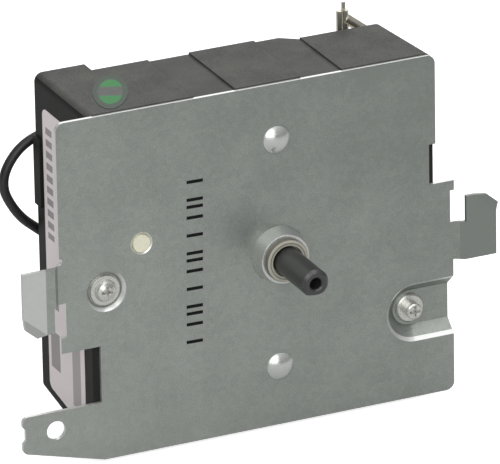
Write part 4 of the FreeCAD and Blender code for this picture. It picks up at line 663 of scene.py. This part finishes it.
class TIMER_OT_marks(bpy.types.Operator):
    """Stamp a row of plain strokes on the plate"""
    bl_idname = "timer.marks"
    bl_label = "Plate marks"

    def execute(self, context):
        settings = context.scene.timer_marks
        carrier = link("marks carrier", bpy.data.meshes.new("marks carrier"))
        modifier = carrier.modifiers.new("strokes", "NODES")
        modifier.node_group = marks_tree(settings)
        carrier.matrix_world = Matrix.Translation(settings.top) @ Matrix.Rotation(settings.lean, 4, "Y")
        context.view_layer.update()
        marks = plain_copy(carrier, "plate_marks")
        if not marks.data.polygons:
            raise RuntimeError("the marks came out empty")
        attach(marks, FRAME_BODY)
        return {"FINISHED"}


def lead_curve(name, route, diameter):
    curve = bpy.data.curves.new(name, "CURVE")
    curve.dimensions = "3D"
    curve.resolution_u = 10
    curve.bevel_depth = diameter / 2
    curve.bevel_resolution = 4
    curve.use_fill_caps = True
    spline = curve.splines.new("NURBS")
    spline.points.add(len(route) - 1)
    for point, place in zip(spline.points, route):
        point.co = (*(Vector(place) * MM), 1.0)
    spline.order_u = 3
    spline.use_endpoint_u = True
    curve.materials.append(finish_named("lead jacket"))
    return link(name, curve)


class TIMER_OT_leads(bpy.types.Operator):
    """Lay the motor's two leads along their routes"""
    bl_idname = "timer.leads"
    bl_label = "Motor leads"

    diameter: bpy.props.FloatProperty(name="Diameter", description="Diameter of a lead", default=2.5 * MM,
                                      unit="LENGTH")

    def execute(self, context):
        for name, route, length, connector in LEADS:
            lead = lead_curve(name, route, self.diameter)
            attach(lead, FRAME_BODY)
            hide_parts("motor_" + name)
        return {"FINISHED"}


def area_lamp(name, power):
    """A square soft lamp that faces the timer."""
    place, size = LAMPS[name]
    lamp = bpy.data.lights.new(name, "AREA")
    lamp.size = size
    lamp.energy = power
    item = link(name, lamp)
    item.location = place
    item.rotation_euler = (-Vector(place)).to_track_quat("-Z", "Y").to_euler()


def place_camera(studio):
    """The camera from the photograph's angles, distance and scale."""
    azimuth, elevation, roll = studio.azimuth, studio.elevation, studio.roll
    back = Vector((-math.sin(azimuth) * math.cos(elevation), -math.cos(azimuth) * math.cos(elevation),
                   math.sin(elevation)))
    right = Vector((math.cos(azimuth), -math.sin(azimuth), 0.0))
    up = back.cross(right).normalized()
    level_right = right * math.cos(roll) + up * math.sin(roll)
    level_up = up * math.cos(roll) - right * math.sin(roll)
    focal = studio.scale * studio.distance / MM
    depth = studio.distance
    offset = Vector((studio.axis_across / focal * depth, -studio.axis_down / focal * depth, -depth))
    turn = Matrix((level_right, level_up, back)).transposed()
    data = bpy.data.cameras.new("camera")
    data.sensor_fit = "HORIZONTAL"
    data.sensor_width = SENSOR_WIDTH
    data.lens = focal / FRAME_WIDTH * data.sensor_width
    data.clip_end = CAMERA_CLIP
    camera = link("camera", data)
    camera.matrix_world = Matrix.Translation(-(turn @ offset)) @ turn.to_4x4()
    bpy.context.scene.camera = camera


def shade_world(tree, low, high):
    """Surroundings that brighten upwards; the camera sees them white."""
    ground = tree.nodes["Background"]
    ground.inputs["Color"].default_value = (1.0, 1.0, 1.0, 1.0)
    place = tree.nodes.new("ShaderNodeTexCoord")
    split = tree.nodes.new("ShaderNodeSeparateXYZ")
    tree.links.new(place.outputs["Generated"], split.inputs[0])
    rise = tree.nodes.new("ShaderNodeMapRange")
    tree.links.new(split.outputs["Z"], rise.inputs["Value"])
    rise.inputs["From Min"].default_value = 0.0
    rise.inputs["From Max"].default_value = 0.8
    rise.inputs["To Min"].default_value = low
    rise.inputs["To Max"].default_value = high
    path = tree.nodes.new("ShaderNodeLightPath")
    seen = tree.nodes.new("ShaderNodeMath")
    seen.operation = "MAXIMUM"
    tree.links.new(path.outputs["Is Camera Ray"], seen.inputs[0])
    tree.links.new(rise.outputs["Result"], seen.inputs[1])
    tree.links.new(seen.outputs[0], ground.inputs["Strength"])


class TIMER_OT_studio(bpy.types.Operator):
    """Set up the pale floor, the soft lamps and the camera"""
    bl_idname = "timer.studio"
    bl_label = "Studio"

    def execute(self, context):
        studio = context.scene.timer_studio
        low = min(corner[2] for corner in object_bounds())
        level = low - MM
        mesh = bpy.data.meshes.new("floor")
        mesh.from_pydata([
            (-FLOOR_REACH, -FLOOR_REACH, level),
            (FLOOR_REACH, -FLOOR_REACH, level),
            (FLOOR_REACH, FLOOR_REACH, level),
            (-FLOOR_REACH, FLOOR_REACH, level),
        ], [], [(0, 1, 2, 3)])
        mesh.materials.append(finish_named("studio floor"))
        link("floor", mesh)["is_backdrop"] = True
        area_lamp("key lamp", studio.key_power)
        area_lamp("top lamp", studio.top_power)
        area_lamp("back lamp", studio.back_power)
        world = bpy.data.worlds.new("studio world")
        world.use_nodes = True
        shade_world(world.node_tree, studio.world_low, studio.world_high)
        context.scene.world = world
        place_camera(studio)
        context.scene.view_settings.view_transform = "Standard"
        return {"FINISHED"}


class TIMER_PT_panel(bpy.types.Panel):
    """Lists the timer's steps and settings"""
    bl_label = "Dryer Timer"
    bl_space_type = "VIEW_3D"
    bl_region_type = "UI"
    bl_category = "Timer"

    def draw(self, context):
        for operator in STEPS:
            self.layout.operator(operator.bl_idname)
        for group in ("timer_marks", "timer_studio"):
            settings = getattr(context.scene, group)
            box = self.layout.box()
            for name in settings.__annotations__:
                box.prop(settings, name)


STEPS = (TIMER_OT_finishes, TIMER_OT_marks, TIMER_OT_leads, TIMER_OT_studio)
CLASSES = (TimerMarks, TimerStudio) + STEPS + (TIMER_PT_panel,)


def register():
    for item in CLASSES:
        bpy.utils.register_class(item)
    bpy.types.Scene.timer_marks = bpy.props.PointerProperty(type=TimerMarks)
    bpy.types.Scene.timer_studio = bpy.props.PointerProperty(type=TimerStudio)


def unregister():
    del bpy.types.Scene.timer_studio
    del bpy.types.Scene.timer_marks
    for item in reversed(CLASSES):
        bpy.utils.unregister_class(item)


def main():
    register()
    bpy.ops.timer.finishes()
    bpy.ops.timer.marks()
    bpy.ops.timer.leads()
    bpy.ops.timer.studio()


if __name__ == "__main__":
    main()
